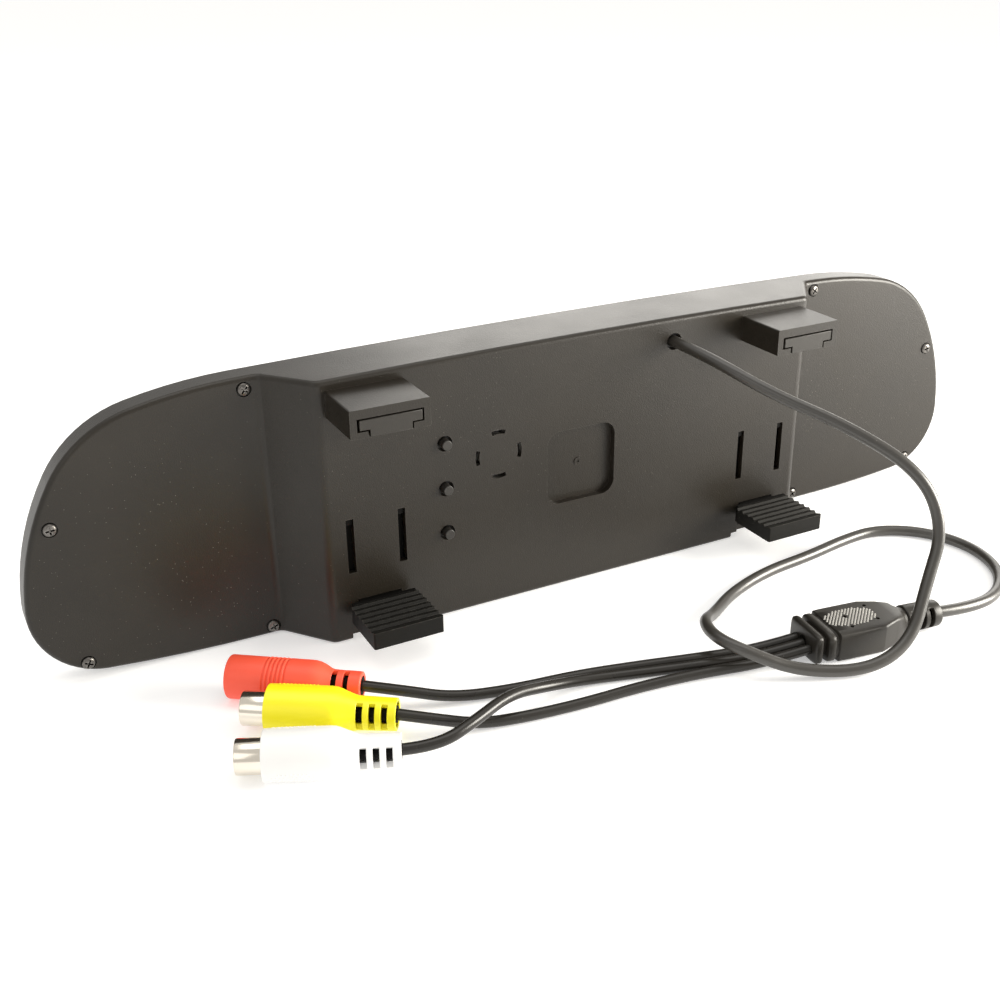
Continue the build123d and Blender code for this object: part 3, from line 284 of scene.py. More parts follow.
finishes = {
    "casePlastic": {
        "base": (0.0182, 0.0147, 0.0102), "second": (0.0120, 0.0096, 0.0066),
        "rough": (0.30, 0.40), "sheen": 0.37,
        "grain": (2500, 0.8, 0.5), "bump": 0.03, "dust": (900, 0.11, 0.45), "wear": (0.35, 0.55, 320),
    },
    "bezelPlastic": {
        "base": (0.0182, 0.0147, 0.0102), "second": (0.0120, 0.0096, 0.0066),
        "rough": (0.30, 0.40), "sheen": 0.37,
        "grain": (2500, 0.8, 0.5), "bump": 0.03, "dust": (820, 0.10, 0.3), "wear": (0.3, 0.4, 320),
    },
    "padRubber": {
        "base": (0.0052, 0.0048, 0.004), "second": (0.008, 0.0074, 0.006),
        "rough": (0.5, 0.62), "sheen": 0.16,
        "grain": (2600, 0.6, 0.6), "bump": 0.02, "dust": (950, 0.12, 0.5), "wear": (0.3, 0.8, 500),
        "wearColour": (0.10, 0.094, 0.082),
    },
    # the clip sliders' own near-black plastic; also used on the relief cores, where it stands partly for
    # the black cord and partly for painted shade in the windows
    "sliderPlastic": {
        "base": (0.003, 0.0028, 0.0024), "second": (0.005, 0.0046, 0.004),
        "rough": (0.5, 0.62), "sheen": 0.08,
        "grain": (3000, 0.5, 0.4), "bump": 0.014, "dust": (900, 0.1, 0.3), "wear": (0.25, 0.4, 420),
    },
    "hookPadPlastic": {
        "base": (0.022, 0.019, 0.015), "second": (0.018, 0.0155, 0.012),
        "rough": (0.38, 0.46), "sheen": 0.4,
        "grain": (3000, 0.5, 0.5), "bump": 0.016, "dust": (620, 0.1, 0.3), "wear": (0.3, 0.5, 420),
    },
    "buttonPlastic": {
        "base": (0.022, 0.020, 0.0175), "second": (0.028, 0.0255, 0.022),
        "rough": (0.36, 0.44), "sheen": 0.4,
        "grain": (3000, 0.4, 0.4), "bump": 0.01, "dust": (520, 0.12, 0.2), "wear": (0.25, 0.7, 520),
    },
    "cordPvc": {
        "base": (0.014, 0.0124, 0.010), "second": (0.020, 0.0178, 0.0145),
        "rough": (0.24, 0.33), "sheen": 0.42,
        "grain": (1500, 0.25, 0.8), "bump": 0.012, "dust": (820, 0.13, 0.3), "wear": None,
    },
    "mainCordPvc": {
        "base": (0.024, 0.0215, 0.0175), "second": (0.034, 0.0305, 0.025),
        "rough": (0.28, 0.38), "sheen": 0.75,
        "grain": (1500, 0.25, 0.8), "bump": 0.012, "dust": (820, 0.13, 0.3), "wear": None,
    },
    "blockPvc": {
        "base": (0.018, 0.0158, 0.0125), "second": (0.024, 0.0212, 0.017),
        "rough": (0.34, 0.44), "sheen": 0.35,
        "grain": (2200, 0.4, 0.6), "bump": 0.015, "dust": (760, 0.13, 0.35), "wear": (0.25, 0.3, 420),
    },
    # light grey base on the junction block's moulded dots: painted highlight standing in for their glints,
    # the block itself is black
    "gripDots": {
        "base": (0.46, 0.45, 0.42), "second": (0.60, 0.58, 0.54), "rough": (0.22, 0.3),
        "grain": (3000, 0.3, 0.3), "bump": 0.006, "dust": None, "wear": None,
    },
    "whitePvc": {
        "base": (0.80, 0.797, 0.785), "second": (0.84, 0.837, 0.83), "rough": (0.3, 0.38),
        "grain": (1800, 0.3, 0.6), "bump": 0.009, "dust": None, "wear": None,
    },
    "yellowPvc": {
        "base": (0.93, 0.83, 0.008), "second": (0.95, 0.87, 0.012), "rough": (0.3, 0.38),
        "grain": (1800, 0.3, 0.6), "bump": 0.009, "dust": None, "wear": None,
    },
    "redPvc": {
        "base": (0.93, 0.085, 0.040), "second": (0.96, 0.11, 0.055), "rough": (0.38, 0.48),
        "grain": (1800, 0.4, 0.6), "bump": 0.012, "dust": (520, 0.1, 0.15), "wear": None,
    },
    "blackPlastic": {
        "base": (0.018, 0.017, 0.016), "second": (0.024, 0.023, 0.022), "rough": (0.35, 0.5),
        "grain": (2600, 0.4, 0.4), "bump": 0.01, "dust": None, "wear": None,
    },
    "creamPlastic": {
        "base": (0.72, 0.68, 0.58), "second": (0.78, 0.74, 0.65), "rough": (0.35, 0.45),
        "grain": (2200, 0.3, 0.5), "bump": 0.008, "dust": None, "wear": None,
    },
    "nickel": {
        "base": (0.80, 0.745, 0.655), "second": (0.72, 0.665, 0.58), "rough": (0.13, 0.22), "metal": 1.0,
        "grain": (3200, 0.2, 0.5), "bump": 0.003, "dust": None, "wear": None,
    },
    "gilt": {
        "base": (0.83, 0.62, 0.27), "second": (0.75, 0.54, 0.21), "rough": (0.18, 0.28), "metal": 1.0,
        "grain": (3200, 0.2, 0.5), "bump": 0.003, "dust": None, "wear": None,
    },
    "screwSteel": {
        "base": (0.105, 0.098, 0.09), "second": (0.17, 0.16, 0.15), "rough": (0.26, 0.4), "metal": 1.0,
        "grain": (2400, 0.5, 0.5), "bump": 0.008, "dust": None, "wear": (0.25, 1.0, 700),
        "wearColour": (0.55, 0.53, 0.5),
    },
    "sheetSteel": {
        "base": (0.52, 0.51, 0.49), "second": (0.46, 0.45, 0.43), "rough": (0.28, 0.42), "metal": 1.0,
        "grain": (900, 0.2, 0.6), "bump": 0.006, "dust": None, "wear": None,
    },
    "boardGreen": {
        "base": (0.012, 0.085, 0.030), "second": (0.018, 0.105, 0.040), "rough": (0.25, 0.38),
        "grain": (1200, 0.4, 0.3), "bump": 0.008, "dust": None, "wear": None,
    },
    "filmAmber": {
        "base": (0.42, 0.17, 0.03), "second": (0.50, 0.21, 0.04), "rough": (0.2, 0.3),
        "grain": (900, 0.2, 0.4), "bump": 0.005, "dust": None, "wear": None,
    },
    "foamBlack": {
        "base": (0.03, 0.03, 0.03), "second": (0.045, 0.045, 0.045), "rough": (0.85, 0.95),
        "grain": (1800, 0.8, 0.4), "bump": 0.05, "dust": None, "wear": None,
    },
    "panelGlass": {
        "base": (0.012, 0.013, 0.016), "second": (0.016, 0.017, 0.02), "rough": (0.06, 0.1),
        "grain": (600, 0.1, 0.2), "bump": 0.001, "dust": None, "wear": None,
    },
    "lightGuide": {
        "base": (0.80, 0.81, 0.82), "second": (0.85, 0.86, 0.87), "rough": (0.3, 0.4),
        "grain": (1500, 0.3, 0.2), "bump": 0.004, "dust": None, "wear": None,
    },
    "mirrorCoat": {
        "base": (0.47, 0.495, 0.52), "second": (0.44, 0.465, 0.49), "rough": (0.03, 0.05), "metal": 1.0,
        "grain": (300, 0.0, 0.1), "bump": 0.0002, "dust": (300, 0.1, 0.12), "wear": None,
    },
}


driftScale = 26.0
wornPale = {"add": 0.045, "times": 2.1}
dustPaint = {"colour": (0.115, 0.105, 0.09), "rough": 0.4}


def placeGroup(tree, key, values):
    node = tree.nodes.new("ShaderNodeGroup")
    node.node_tree = groups[key]
    for name, value in values.items():
        node.inputs[name].default_value = value
    return node


def mixColour(tree, factor, first, second):
    mix = tree.nodes.new("ShaderNodeMix")
    mix.data_type = "RGBA"
    tree.links.new(factor, mix.inputs["Factor"])
    tree.links.new(first, [i for i in mix.inputs if i.name == "A" and i.type == "RGBA"][0])
    [i for i in mix.inputs if i.name == "B" and i.type == "RGBA"][0].default_value = (*second, 1)
    return [o for o in mix.outputs if o.type == "RGBA"][0]


def makeFinish(name, values):
    material = bpy.data.materials.new(name)
    material.use_nodes = True
    tree = material.node_tree
    shader = tree.nodes["Principled BSDF"]
    colours = {"First": (*values["base"], 1), "Second": (*values["second"], 1), "Scale": driftScale}
    drift = placeGroup(tree, "drift", colours)
    colour = drift.outputs["Colour"]
    rough = addRange(tree, drift.outputs["Value"], 0.0, 1.0, *values["rough"])
    if values["wear"]:
        radius, amount, broken = values["wear"]
        wear = placeGroup(tree, "wear", {"Radius": radius * mm, "Amount": amount, "Break": broken})
        paler = tuple(min(1.0, wornPale["add"] + wornPale["times"] * part) for part in values["base"])
        worn = values.get("wearColour", paler)
        colour = mixColour(tree, wear.outputs["Mask"], colour, worn)
    if values["dust"]:
        scale, size, share = values["dust"]
        dust = placeGroup(tree, "dust", {"Scale": scale, "Size": size, "Share": share})
        colour = mixColour(tree, dust.outputs["Mask"], colour, dustPaint["colour"])
        rough = addMath(tree, "MULTIPLY_ADD", dust.outputs["Mask"], dustPaint["rough"], rough)
    tree.links.new(colour, shader.inputs["Base Color"])
    tree.links.new(rough, shader.inputs["Roughness"])
    shader.inputs["Metallic"].default_value = values.get("metal", 0.0)
    shader.inputs["Specular IOR Level"].default_value = values.get("sheen", 0.5)
    scale, pits, ripple = values["grain"]
    grain = placeGroup(tree, "grain", {"Scale": scale, "Pits": pits, "Ripple": ripple})
    bump = tree.nodes.new("ShaderNodeBump")
    bump.inputs["Strength"].default_value = 1.0
    bump.inputs["Distance"].default_value = values["bump"] * mm
    tree.links.new(grain.outputs["Height"], bump.inputs["Height"])
    tree.links.new(bump.outputs["Normal"], shader.inputs["Normal"])
    return material


materials = {name: makeFinish(name, values) for name, values in finishes.items()}
print("materials are made:", len(materials))


# Mesh helpers

def closeUp(bm):
    bmesh.ops.remove_doubles(bm, verts=bm.verts, dist=0.002 * mm)
    bmesh.ops.recalc_face_normals(bm, faces=bm.faces)


def addPiece(name, bm, finish, body, place=None, replaced=(), angle=35.0):
    if place is not None:
        bmesh.ops.transform(bm, matrix=place, verts=bm.verts)
    mesh = bpy.data.meshes.new(name)
    bm.to_mesh(mesh)
    bm.free()
    mesh.shade_smooth()
    mesh.set_sharp_from_angle(angle=math.radians(angle))
    for key in [finish] if isinstance(finish, str) else finish:
        mesh.materials.append(materials[key])
    piece = bpy.data.objects.new(name, mesh)
    scene.collection.objects.link(piece)
    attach(piece, body)
    if replaced:
        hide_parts(*replaced)
    return piece


def softenEdges(piece, width, segments=2, angle=40.0):
    bevel = piece.modifiers.new("softEdges", "BEVEL")
    bevel.width = width * mm
    bevel.segments = segments
    bevel.limit_method = "ANGLE"
    bevel.angle_limit = math.radians(angle)
    bevel.harden_normals = False
    bevel.use_clamp_overlap = True
    return piece


def turnProfile(bm, points, steps=72):
    verts = [bm.verts.new((x * mm, r * mm, 0)) for x, r in points]
    edges = [bm.edges.new(pair) for pair in zip(verts, verts[1:])]
    bmesh.ops.spin(
        bm, geom=verts + edges, axis=(1, 0, 0), cent=(0, 0, 0), angle=fullTurn, steps=steps, use_merge=True
    )
    closeUp(bm)


def alongHeading(tail, heading):
    along = Vector((heading[0], heading[1], 0)).normalized()
    up = Vector((0, 0, 1))
    side = along.cross(up)
    axes = Matrix((along, up, side)).transposed().to_4x4()
    return Matrix.Translation(Vector(tail) * mm) @ axes


# Cords: the same route points as the solid tubes

routes = {
    "mainCord": [
        (29.3, 0.55, 67.5), (29.9, -15.5, 67.4), (37.8, -34, 61), (50.5, -51.5, 54.8), (62, -66.5, 45.2),
        (65.2, -72.8, 31.5), (59, -75.5, 18.5), (50.8, -80.8, 6.6), (37.5, -81, 1.8), (21, -73.5, 2.4),
        (9.5, -67, 7.8), (5.8, -58, 8.6), (9, -48.5, 7.6), (18.5, -40.5, 2.8), (31, -31.8, 1.65),
        (47.5, -26.2, 1.65), (65.5, -24.4, 1.65), (82, -21.2, 1.65), (95, -20.8, 1.65), (107, -29, 1.65),
        (112, -43, 1.65), (108, -57.5, 1.65), (96.5, -68, 1.9), (82, -71.8, 3.2), (69.80, -70.11, 4.2),
    ],
    "redCord": [
        (29.83, -61.33, 3.4), (18.5, -59.3, 1.9), (4, -55, 1.45), (-12.5, -50.6, 1.45),
        (-28.5, -46.8, 1.45),
        (-45.5, -44.8, 1.45), (-60.5, -41.6, 2), (-71.6, -37.2, 5), (-79.8, -31.2, 5.5),
    ],
    "whiteCord": [
        (29.4, -64.4, 3.4), (17.5, -62.3, 1.9), (3, -58.1, 1.45), (-13.5, -53.6, 1.45), (-27, -50, 1.7),
        (-39.5, -50.3, 3.6), (-51.5, -54.4, 7.6), (-63.5, -60.6, 8), (-74.3, -63.8, 6.7),
        (-82.0, -60.3, 6.05),
    ],
    "yellowCord": [
        (28.97, -67.47, 3.4), (16.5, -65.4, 1.9), (1, -61.2, 1.45), (-17, -58.9, 1.45), (-33, -58.4, 1.45),
        (-48.5, -56.6, 1.45), (-60, -54.2, 1.8), (-70.2, -51.9, 5.2), (-77.4, -47.2, 6.05),
    ],
}
cordSizes = {"main": 3.2, "branch": 2.8}


def makeCord(name, points, diameter, node, finish="cordPvc"):
    curve = bpy.data.curves.new(name, "CURVE")
    curve.dimensions = "3D"
    line = curve.splines.new("NURBS")
    line.points.add(len(points) - 1)
    for point, (x, y, z) in zip(line.points, points):
        point.co = (x * mm, y * mm, z * mm, 1)
    line.order_u = 3
    line.use_endpoint_u = True
    line.resolution_u = 12
    curve.bevel_depth = diameter * mm / 2
    curve.bevel_resolution = 7
    curve.use_fill_caps = True
    curve.materials.append(materials[finish])
    piece = bpy.data.objects.new(name, curve)
    scene.collection.objects.link(piece)
    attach(piece, "case")
    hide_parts(node)
    return piece


mainCord = makeCord("mainCord", routes["mainCord"], cordSizes["main"], "main_cord", "mainCordPvc")
branches = {
    colour: makeCord(colour + "Cord", routes[colour + "Cord"], cordSizes["branch"], "cord_" + colour)
    for colour in ("red", "white", "yellow")
}
print("cords are laid")


# Plugs

plugPlaces = {
    "white": {"tail": (-82.0, -60.3, 6.05), "heading": (-0.911, 0.410)},
    "yellow": {"tail": (-77.4, -47.2, 6.05), "heading": (-0.841, 0.540)},
    "red": {"tail": (-79.8, -31.2, 5.5), "heading": (-0.810, 0.587)},
}


def windowedTube(bm, stations, windows, halfAngle, wallThickness, lean=0.0, steps=96):
    turnProfile(bm, stations, steps)
    doomed = []
    for face in bm.faces:
        middle = face.calc_center_median()
        around = math.degrees(math.atan2(middle.y, middle.z)) + lean
        around = abs((around + 90) % 180 - 90)
        if around < halfAngle and any(low * mm < middle.x < high * mm for low, high in windows):
            doomed.append(face)
    bmesh.ops.delete(bm, geom=doomed, context="FACES")
    bmesh.ops.recalc_face_normals(bm, faces=bm.faces)
    bmesh.ops.solidify(bm, geom=bm.faces[:], thickness=wallThickness * mm)


phono = {
    "stations": [
        (0.0, 3.1), (0.0, 3.9), (1.95, 3.93), (3.45, 3.97), (4.9, 4.0), (6.4, 4.03), (7.8, 4.06),
        (9.3, 4.1),
        (10.2, 4.3), (12.0, 4.95), (13.6, 5.62), (14.6, 5.93), (15.8, 6.05), (22.0, 6.05), (30.9, 6.05),
        (30.9, 4.15),
    ],
    "windows": [(1.95, 3.45), (4.9, 6.4), (7.8, 9.3)],
    "windowAngle": 52.0, "windowLean": {"white": -6.0, "yellow": 14.0},
    "wall": 1.6,
    "softEdge": 0.28,
    "gripMiddle": 24.0, "gripHalfLength": 5.4, "gripHalfAngle": 34.0, "gripPitch": 0.92, "dotRadius": 0.34,
    "dotHeight": 0.14, "dotTip": 0.12, "dotLift": 0.049,
    "radius": 6.05, "coreLength": 10.6, "coreRadius": 2.05, "gripTurns": (-38, 142),
}


# near-black core seen through the relief windows: partly the black cord that runs inside, partly painted
# shade in the windows, wider and darker than the cord's own PVC
def cordAndShadeCore(name, place, length, radius):
    bm = bmesh.new()
    turnProfile(bm, [(0.0, 0.0), (0.0, radius), (length, radius), (length, 0.0)], 40)
    return addPiece(name, bm, "sliderPlastic", "case", place)


def gripPattern(bm, values, turns):
    pitch, radius = values["gripPitch"], values["radius"]
    angleStep = math.degrees(pitch / radius)
    rows = int(values["gripHalfAngle"] / angleStep)
    columns = int(values["gripHalfLength"] / pitch)
    for turn in turns:
        for row in range(-rows, rows + 1):
            for column in range(-columns, columns + 1):
                shift = 0.5 * (row % 2)
                x = (column + shift) * pitch
                angle = row * angleStep
                if (x / values["gripHalfLength"]) ** 2 + (angle / values["gripHalfAngle"]) ** 2 > 1:
                    continue
                made = bmesh.ops.create_cone(
                    bm, segments=4, radius1=values["dotRadius"] * mm, radius2=values["dotTip"] * mm,
                    depth=values["dotHeight"] * mm, cap_ends=True,
                )
                lift = Matrix.Translation((0, 0, (radius + values["dotLift"]) * mm))
                around = Matrix.Rotation(math.radians(turn + angle), 4, "X")
                slide = Matrix.Translation(((values["gripMiddle"] + x) * mm, 0, 0))
                bmesh.ops.transform(bm, matrix=slide @ around @ lift, verts=made["verts"])


def makePhono(colour, finish):
    place = alongHeading(**plugPlaces[colour])
    bm = bmesh.new()
    lean = phono["windowLean"][colour]
    windowedTube(bm, phono["stations"], phono["windows"], phono["windowAngle"], phono["wall"], lean)
    grip = addPiece(colour + "Grip", bm, finish, "case", place, [colour + "_grip"], 40)
    softenEdges(grip, phono["softEdge"])
    bm = bmesh.new()
    gripPattern(bm, phono, phono["gripTurns"])
    ribs = addPiece(colour + "GripPattern", bm, finish, "case", place)
    lead = cordAndShadeCore(colour + "ReliefCore", place, phono["coreLength"], phono["coreRadius"])
    bm = bmesh.new()
    turnProfile(bm, [
        (26.9, 3.55), (26.9, 4.0), (30.7, 4.0), (30.9, 4.2), (36.75, 4.2), (37.0, 4.1), (37.1, 3.9),
        (37.05, 3.7), (36.8, 3.55), (26.9, 3.55),
    ])
    barrel = addPiece(colour + "Barrel", bm, "nickel", "case", place, [colour + "_barrel"])
    bm = bmesh.new()
    turnProfile(bm, [
        (26.9, 0.0), (26.9, 3.55), (36.5, 3.55), (36.6, 3.45), (36.6, 2.3), (36.45, 2.1), (27.5, 2.1),
        (27.5, 0.0),
    ])
    core = addPiece(
        colour + "Insulator", bm, "creamPlastic", "case", place, [colour + "_insulator"]
    )
    bm = bmesh.new()
    turnProfile(bm, [
        (27.5, 1.62), (27.5, 2.1), (36.3, 2.1), (36.4, 2.0), (36.4, 1.72), (36.25, 1.62), (27.5, 1.62),
    ])
    contact = addPiece(colour + "Contact", bm, "gilt", "case", place, [colour + "_contact"])
    return [grip, ribs, lead, barrel, core, contact]


whitePlug = makePhono("white", "whitePvc")
yellowPlug = makePhono("yellow", "yellowPvc")

power = {
    "stations": [
        (0.0, 2.5), (0.0, 3.25), (0.25, 3.5), (3.1, 3.55), (4.4, 3.5), (6.05, 3.55), (7.3, 3.6),
        (8.1, 3.85),
        (9.4, 4.6), (10.8, 5.2), (12.0, 5.45), (13.2, 5.5), (18.4, 5.5),
        (18.55, 5.25), (18.8, 5.25), (18.95, 5.56), (19.45, 5.56), (19.6, 5.25), (19.85, 5.25),
        (20.0, 5.56),
        (20.5, 5.56), (20.65, 5.25), (20.9, 5.25), (21.05, 5.56), (21.55, 5.56), (21.7, 5.25),
        (21.95, 5.25),
        (22.1, 5.56), (22.6, 5.56), (22.75, 5.25), (23.0, 5.25), (23.15, 5.56), (23.65, 5.56), (23.8, 5.25),
        (24.05, 5.25), (24.2, 5.5), (33.2, 5.5), (33.55, 5.4), (33.7, 5.15), (33.7, 4.25),
    ],
    "windows": [(3.1, 4.4), (6.05, 7.3)],
    "windowAngle": 56.0, "windowLean": 44.0,
    "wall": 1.2,
    "softEdge": 0.14, "coreLength": 8.2, "coreRadius": 2.15,
}


def makePower():
    place = alongHeading(**plugPlaces["red"])
    bm = bmesh.new()
    lean = power["windowLean"]
    windowedTube(bm, power["stations"], power["windows"], power["windowAngle"], power["wall"], lean)
    grip = addPiece("redGrip", bm, "redPvc", "case", place, ["red_grip"], 40)
    softenEdges(grip, power["softEdge"])
    bm = bmesh.new()
    turnProfile(bm, [
        (21.0, 0.0), (21.0, 4.2), (33.4, 4.2), (33.5, 4.1), (33.5, 3.1), (33.3, 2.9), (23.0, 2.9),
        (23.0, 0.0),
    ])
    insert = addPiece("powerInsert", bm, "blackPlastic", "case", place, ["dc_insert"])
    lead = cordAndShadeCore("redReliefCore", place, power["coreLength"], power["coreRadius"])
    return [grip, lead, insert]


redPlug = makePower()
print("plugs are made")


# Junction block

block = {
    "mouth": (29.4, -64.4, 4.2), "heading": (0.990, -0.140),
    "body": [          # x, half width, half height, squareness
        (0.0, 5.9, 3.4, 5), (0.25, 6.5, 4.0, 6), (0.6, 6.75, 4.2, 7), (1.5, 6.75, 4.2, 7),
        (1.85, 6.6, 4.05, 7),
        (2.0, 6.3, 3.8, 6), (2.05, 5.3, 2.9, 5), (3.45, 5.3, 2.9, 5), (3.5, 6.6, 3.8, 5),
        (3.75, 7.0, 4.12, 5),
        (4.2, 7.12, 4.2, 5), (5.3, 7.15, 4.2, 5), (5.5, 7.0, 4.05, 5), (5.65, 6.75, 3.75, 5),
        (6.45, 6.75, 3.75, 5),
        (6.6, 7.0, 4.05, 8), (6.75, 7.2, 4.2, 10), (10.0, 7.3, 4.22, 10), (20.0, 7.3, 4.22, 10),
        (20.3, 7.2, 4.22, 10), (24.6, 5.5, 4.2, 10), (25.0, 5.35, 4.18, 9), (27.6, 4.5, 3.95, 6),
        (28.2, 3.95, 3.7, 3.4), (29.2, 3.55, 3.45, 2.2), (30.3, 3.4, 3.35, 2), (30.9, 3.3, 3.3, 2),
    ],
    "relief": [
        (30.0, 2.1), (30.0, 3.55), (30.25, 3.85), (31.4, 3.85), (32.8, 3.84), (34.1, 3.8), (35.5, 3.78),
        (36.8, 3.74), (38.2, 3.72), (40.4, 3.62), (40.75, 3.4), (40.8, 3.1), (40.8, 1.7),
    ],
    "windows": [(31.4, 32.8), (34.1, 35.5), (36.8, 38.2)],
    "windowAngle": 58.0,
    "wall": 1.4, "coreLength": 40.6, "coreRadius": 1.6,
    "holes": [(12.5, 0.6), (11.5, -4.4), (20.0, -3.2), (20.5, 3.8)],
    "holeRadius": 0.55, "holeFoot": 0.495, "holeLength": 3.0, "top": 4.2, "softEdge": 0.22,
    "dotMiddle": 13.6, "dotHalfLength": 7.4, "dotHalfWidth": 4.1, "dotPitch": 0.98, "dotRadius": 0.36,
    "dotHeight": 0.26, "dotTip": 0.1, "dotLevel": 4.34, "rowShare": 0.62,
}


def squareRing(bm, x, halfWidth, halfHeight, squareness, segments=64):
    made = bmesh.ops.create_circle(bm, cap_ends=False, radius=1.0, segments=segments)
    curl = 2.0 / squareness
    for vert in made["verts"]:
        across, up = vert.co.x, vert.co.y
        vert.co = (
            x * mm,
            math.copysign(abs(up) ** curl, up) * halfHeight * mm,
            math.copysign(abs(across) ** curl, across) * halfWidth * mm,
        )
    return list({edge for vert in made["verts"] for edge in vert.link_edges})


def makeBlock(values):
    place = alongHeading(values["mouth"], values["heading"])
    bm = bmesh.new()
    rings = [squareRing(bm, *station) for station in values["body"]]
    for first, second in zip(rings, rings[1:]):
        bmesh.ops.bridge_loops(bm, edges=first + second)
    bmesh.ops.holes_fill(bm, edges=rings[0] + rings[-1], sides=0)
    closeUp(bm)
    body = addPiece("junctionBody", bm, "blockPvc", "case", None, ["junction_block"], 45)
    bm = bmesh.new()
    for x, side in values["holes"]:
        made = bmesh.ops.create_cone(
            bm, segments=20, radius1=values["holeRadius"] * mm, radius2=values["holeFoot"] * mm,
            depth=values["holeLength"] * mm, cap_ends=True,
        )
        drop = Matrix.Translation((x * mm, values["top"] * mm, -side * mm))
        upright = Matrix.Rotation(math.pi / 2, 4, "X")
        bmesh.ops.transform(bm, matrix=drop @ upright, verts=made["verts"])
    cutterMesh = bpy.data.meshes.new("pinHoles")
    bm.to_mesh(cutterMesh)
    bm.free()
    cutter = bpy.data.objects.new("pinHoles", cutterMesh)
    scene.collection.objects.link(cutter)
    cut = body.modifiers.new("pinHoles", "BOOLEAN")
    cut.object = cutter
    cut.operation = "DIFFERENCE"
    cut.solver = "EXACT"
    bpy.context.view_layer.update()
    cutBody = bpy.data.meshes.new_from_object(body.evaluated_get(bpy.context.evaluated_depsgraph_get()))
    body.modifiers.clear()
    body.data = cutBody
    bpy.data.objects.remove(cutter)
    body.data.transform(place)
    body.data.shade_smooth()
    body.data.set_sharp_from_angle(angle=math.radians(45))

    bm = bmesh.new()
    windowedTube(bm, values["relief"], values["windows"], values["windowAngle"], values["wall"])
    relief = addPiece("junctionRelief", bm, "blockPvc", "case", place, (), 40)
    core = cordAndShadeCore("junctionCore", place, values["coreLength"], values["coreRadius"])
    softenEdges(relief, values["softEdge"])

    bm = bmesh.new()
    pitch = values["dotPitch"]
    for row in range(-7, 8):
        for column in range(-9, 10):
            x = (column + 0.5 * (row % 2)) * pitch
            side = row * pitch * values["rowShare"]
            if (x / values["dotHalfLength"]) ** 2 + (side / values["dotHalfWidth"]) ** 2 > 1:
                continue
            centre = (values["dotMiddle"] + x, side)
            clear = values["holeRadius"] + values["dotRadius"]
            if any(math.dist(centre, hole) < clear for hole in values["holes"]):
                continue
            made = bmesh.ops.create_cone(
                bm, segments=4, radius1=values["dotRadius"] * mm, radius2=values["dotTip"] * mm,
                depth=values["dotHeight"] * mm, cap_ends=True,
            )
            lift = Matrix.Translation((centre[0] * mm, values["dotLevel"] * mm, -side * mm))
            upright = Matrix.Rotation(-math.pi / 2, 4, "X")
            bmesh.ops.transform(bm, matrix=lift @ upright, verts=made["verts"])
    # the dots carry a light grey painted highlight for their glints
    dots = addPiece("junctionDots", bm, "gripDots", "case", place)
    return [body, relief, core, dots]


junction = makeBlock(block)
print("junction block is made")


# Case screws with their cross recesses

screw = {
    "height": 1.2, "crossHalf": 1.12, "crossWidth": 0.27, "crossDepth": 0.85, "crossTaper": 0.62,
    "seat": 12.65, "segments": 24,
    "dome": [(1.3, 1.13), (1.55, 0.95), (1.7, 0.62), (1.75, 0.3), (1.75, -0.2)],    # radius, height
    "places": ((88.5, 2.45), (137.0, 5.4), (140.5, 43.7), (89.9, 70.4)),
    "turns": (20, 65, 5, 48, 31, 77, 12, 54),
}


def screwHead(bm, values, x, z, turn):
    half, width = values["crossHalf"], values["crossWidth"]
    top = values["height"]
    corners = [
        (width, width), (width, half), (-width, half), (-width, width), (-half, width), (-half, -width),
        (-width, -width), (-width, -half), (width, -half), (width, -width), (half, -width), (half, width),
    ]
    start = len(bm.verts)
    cross = [bm.verts.new((a * mm, b * mm, top * mm)) for a, b in corners]
    crossEdges = [bm.edges.new(pair) for pair in zip(cross, cross[1:] + cross[:1])]
    walls = bmesh.ops.extrude_edge_only(bm, edges=crossEdges)["geom"]
    floorVerts = [item for item in walls if isinstance(item, bmesh.types.BMVert)]
    wallEdges = [item for item in walls if isinstance(item, bmesh.types.BMEdge)]
    floorEdges = [edge for edge in wallEdges if all(vert in floorVerts for vert in edge.verts)]
    for vert in floorVerts:
        vert.co.x *= values["crossTaper"]
        vert.co.y *= values["crossTaper"]
        vert.co.z -= values["crossDepth"] * mm
    bmesh.ops.contextual_create(bm, geom=floorEdges)
    loops = []
    for radius, height in values["dome"]:
        made = bmesh.ops.create_circle(bm, cap_ends=False, radius=radius * mm, segments=values["segments"])
        for vert in made["verts"]:
            vert.co.z = height * mm
        loops.append(list({edge for vert in made["verts"] for edge in vert.link_edges}))
    for first, second in zip([crossEdges] + loops, loops):
        bmesh.ops.bridge_loops(bm, edges=first + second)
    bm.verts.ensure_lookup_table()
    new = bm.verts[start:]
    aim = Matrix.Rotation(math.pi / 2, 4, "X") @ Matrix.Rotation(math.radians(turn), 4, "Z")
    bmesh.ops.transform(
        bm, matrix=Matrix.Translation((x * mm, values["seat"] * mm, z * mm)) @ aim, verts=new
    )


bm = bmesh.new()
screwSpots = [(side * x, z) for side in (-1, 1) for x, z in screw["places"]]
for (x, z), turn in zip(screwSpots, screw["turns"]):
    screwHead(bm, screw, x, z, turn)
bmesh.ops.recalc_face_normals(bm, faces=bm.faces)
addPiece("caseScrewHeads", bm, "screwSteel", "case", None, ["case_screws"], 50)


# Moulded parts with broken edges, from merged copies of the solids

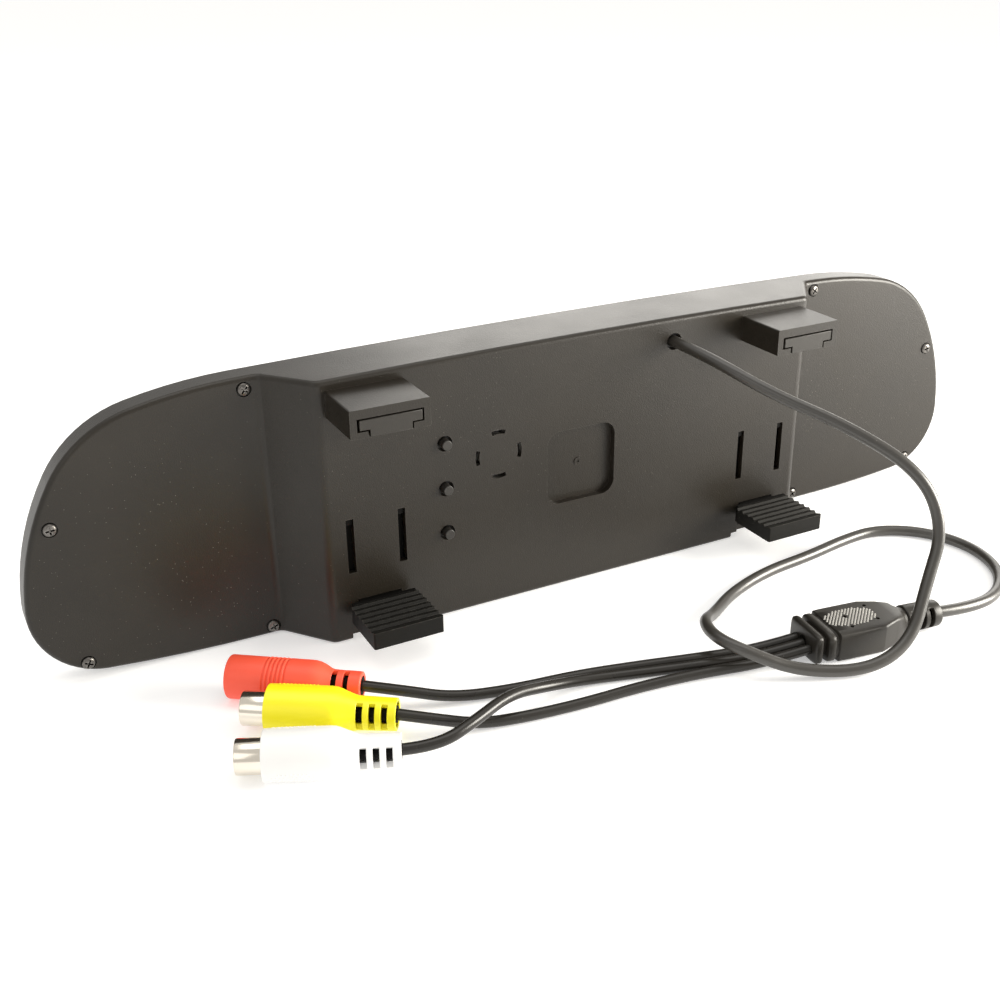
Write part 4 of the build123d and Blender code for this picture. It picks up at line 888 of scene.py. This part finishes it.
def brokenEdges(node, name, finish, body, width, angle=30.0, play=None):
    bm = bmesh.new()
    bm.from_mesh(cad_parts[node].data)
    if play:
        middle = sum(bound(vert.co.x for vert in bm.verts) for bound in (min, max)) / 2
        bottom, top = (bound(vert.co.z for vert in bm.verts) for bound in (min, max))
        for vert in bm.verts:
            vert.co.x = middle + (vert.co.x - middle) * play["across"] + play["shift"] * mm
            if vert.co.z > top - play["step"] * mm:
                vert.co.z -= play["drop"] * mm
            elif vert.co.z > bottom + play["step"] * mm:
                vert.co.z += play["lift"] * mm
    bmesh.ops.remove_doubles(bm, verts=bm.verts, dist=0.001 * mm)
    bmesh.ops.dissolve_limit(bm, angle_limit=math.radians(0.5), verts=bm.verts, edges=bm.edges)
    piece = addPiece(name, bm, finish, body, None, [node], 30)
    softenEdges(piece, width, 2, angle)
    return piece


hookPlay = {"across": 0.966, "shift": 0.12, "step": 0.3, "drop": 0.2, "lift": 0.32}
for side in ("left", "right"):
    body = "clip_" + side
    brokenEdges("clip_pad_" + side, side + "ClipPad", "padRubber", body, 0.13)
    brokenEdges("clip_slider_" + side, side + "ClipSlider", "sliderPlastic", body, 0.15)
    brokenEdges(
        "hook_pad_" + side, side + "HookPad", "hookPadPlastic", "case", 0.15,
        play=hookPlay,
    )
print("clamp pieces are made")


# Finishes of the solids that stay as they are

nodeFinishes = {
    "casePlastic": ["rear_case"],
    "bezelPlastic": ["front_bezel"],
    "mirrorCoat": ["mirror_glass"],
    "panelGlass": ["lcd_panel"],
    "lightGuide": ["lcd_backlight"],
    "foamBlack": ["lcd_gasket"],
    "sheetSteel": [
        "lcd_holder", "lcd_holder_screws", "board_screws", "retainer_screws", "tact_switches", "sounder",
    ],
    "boardGreen": ["main_board"],
    "blackPlastic": [
        "video_chip", "power_parts", "cord_anchor", "inner_wires",
        "plunger_up", "plunger_menu", "plunger_down", "clip_retainer_left", "clip_retainer_right",
    ],
    "creamPlastic": ["lead_socket", "lead_plug", "flex_socket"],
    "filmAmber": ["lcd_flex"],
    "buttonPlastic": ["button_up", "button_menu", "button_down"],
    "nickel": ["clip_spring_left", "clip_spring_right", "dc_pin", "dc_contact"],
}
for finish, nodes in nodeFinishes.items():
    for node in nodes:
        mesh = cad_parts[node].data
        mesh.materials.clear()
        mesh.materials.append(materials[finish])
print("finishes are on every solid")
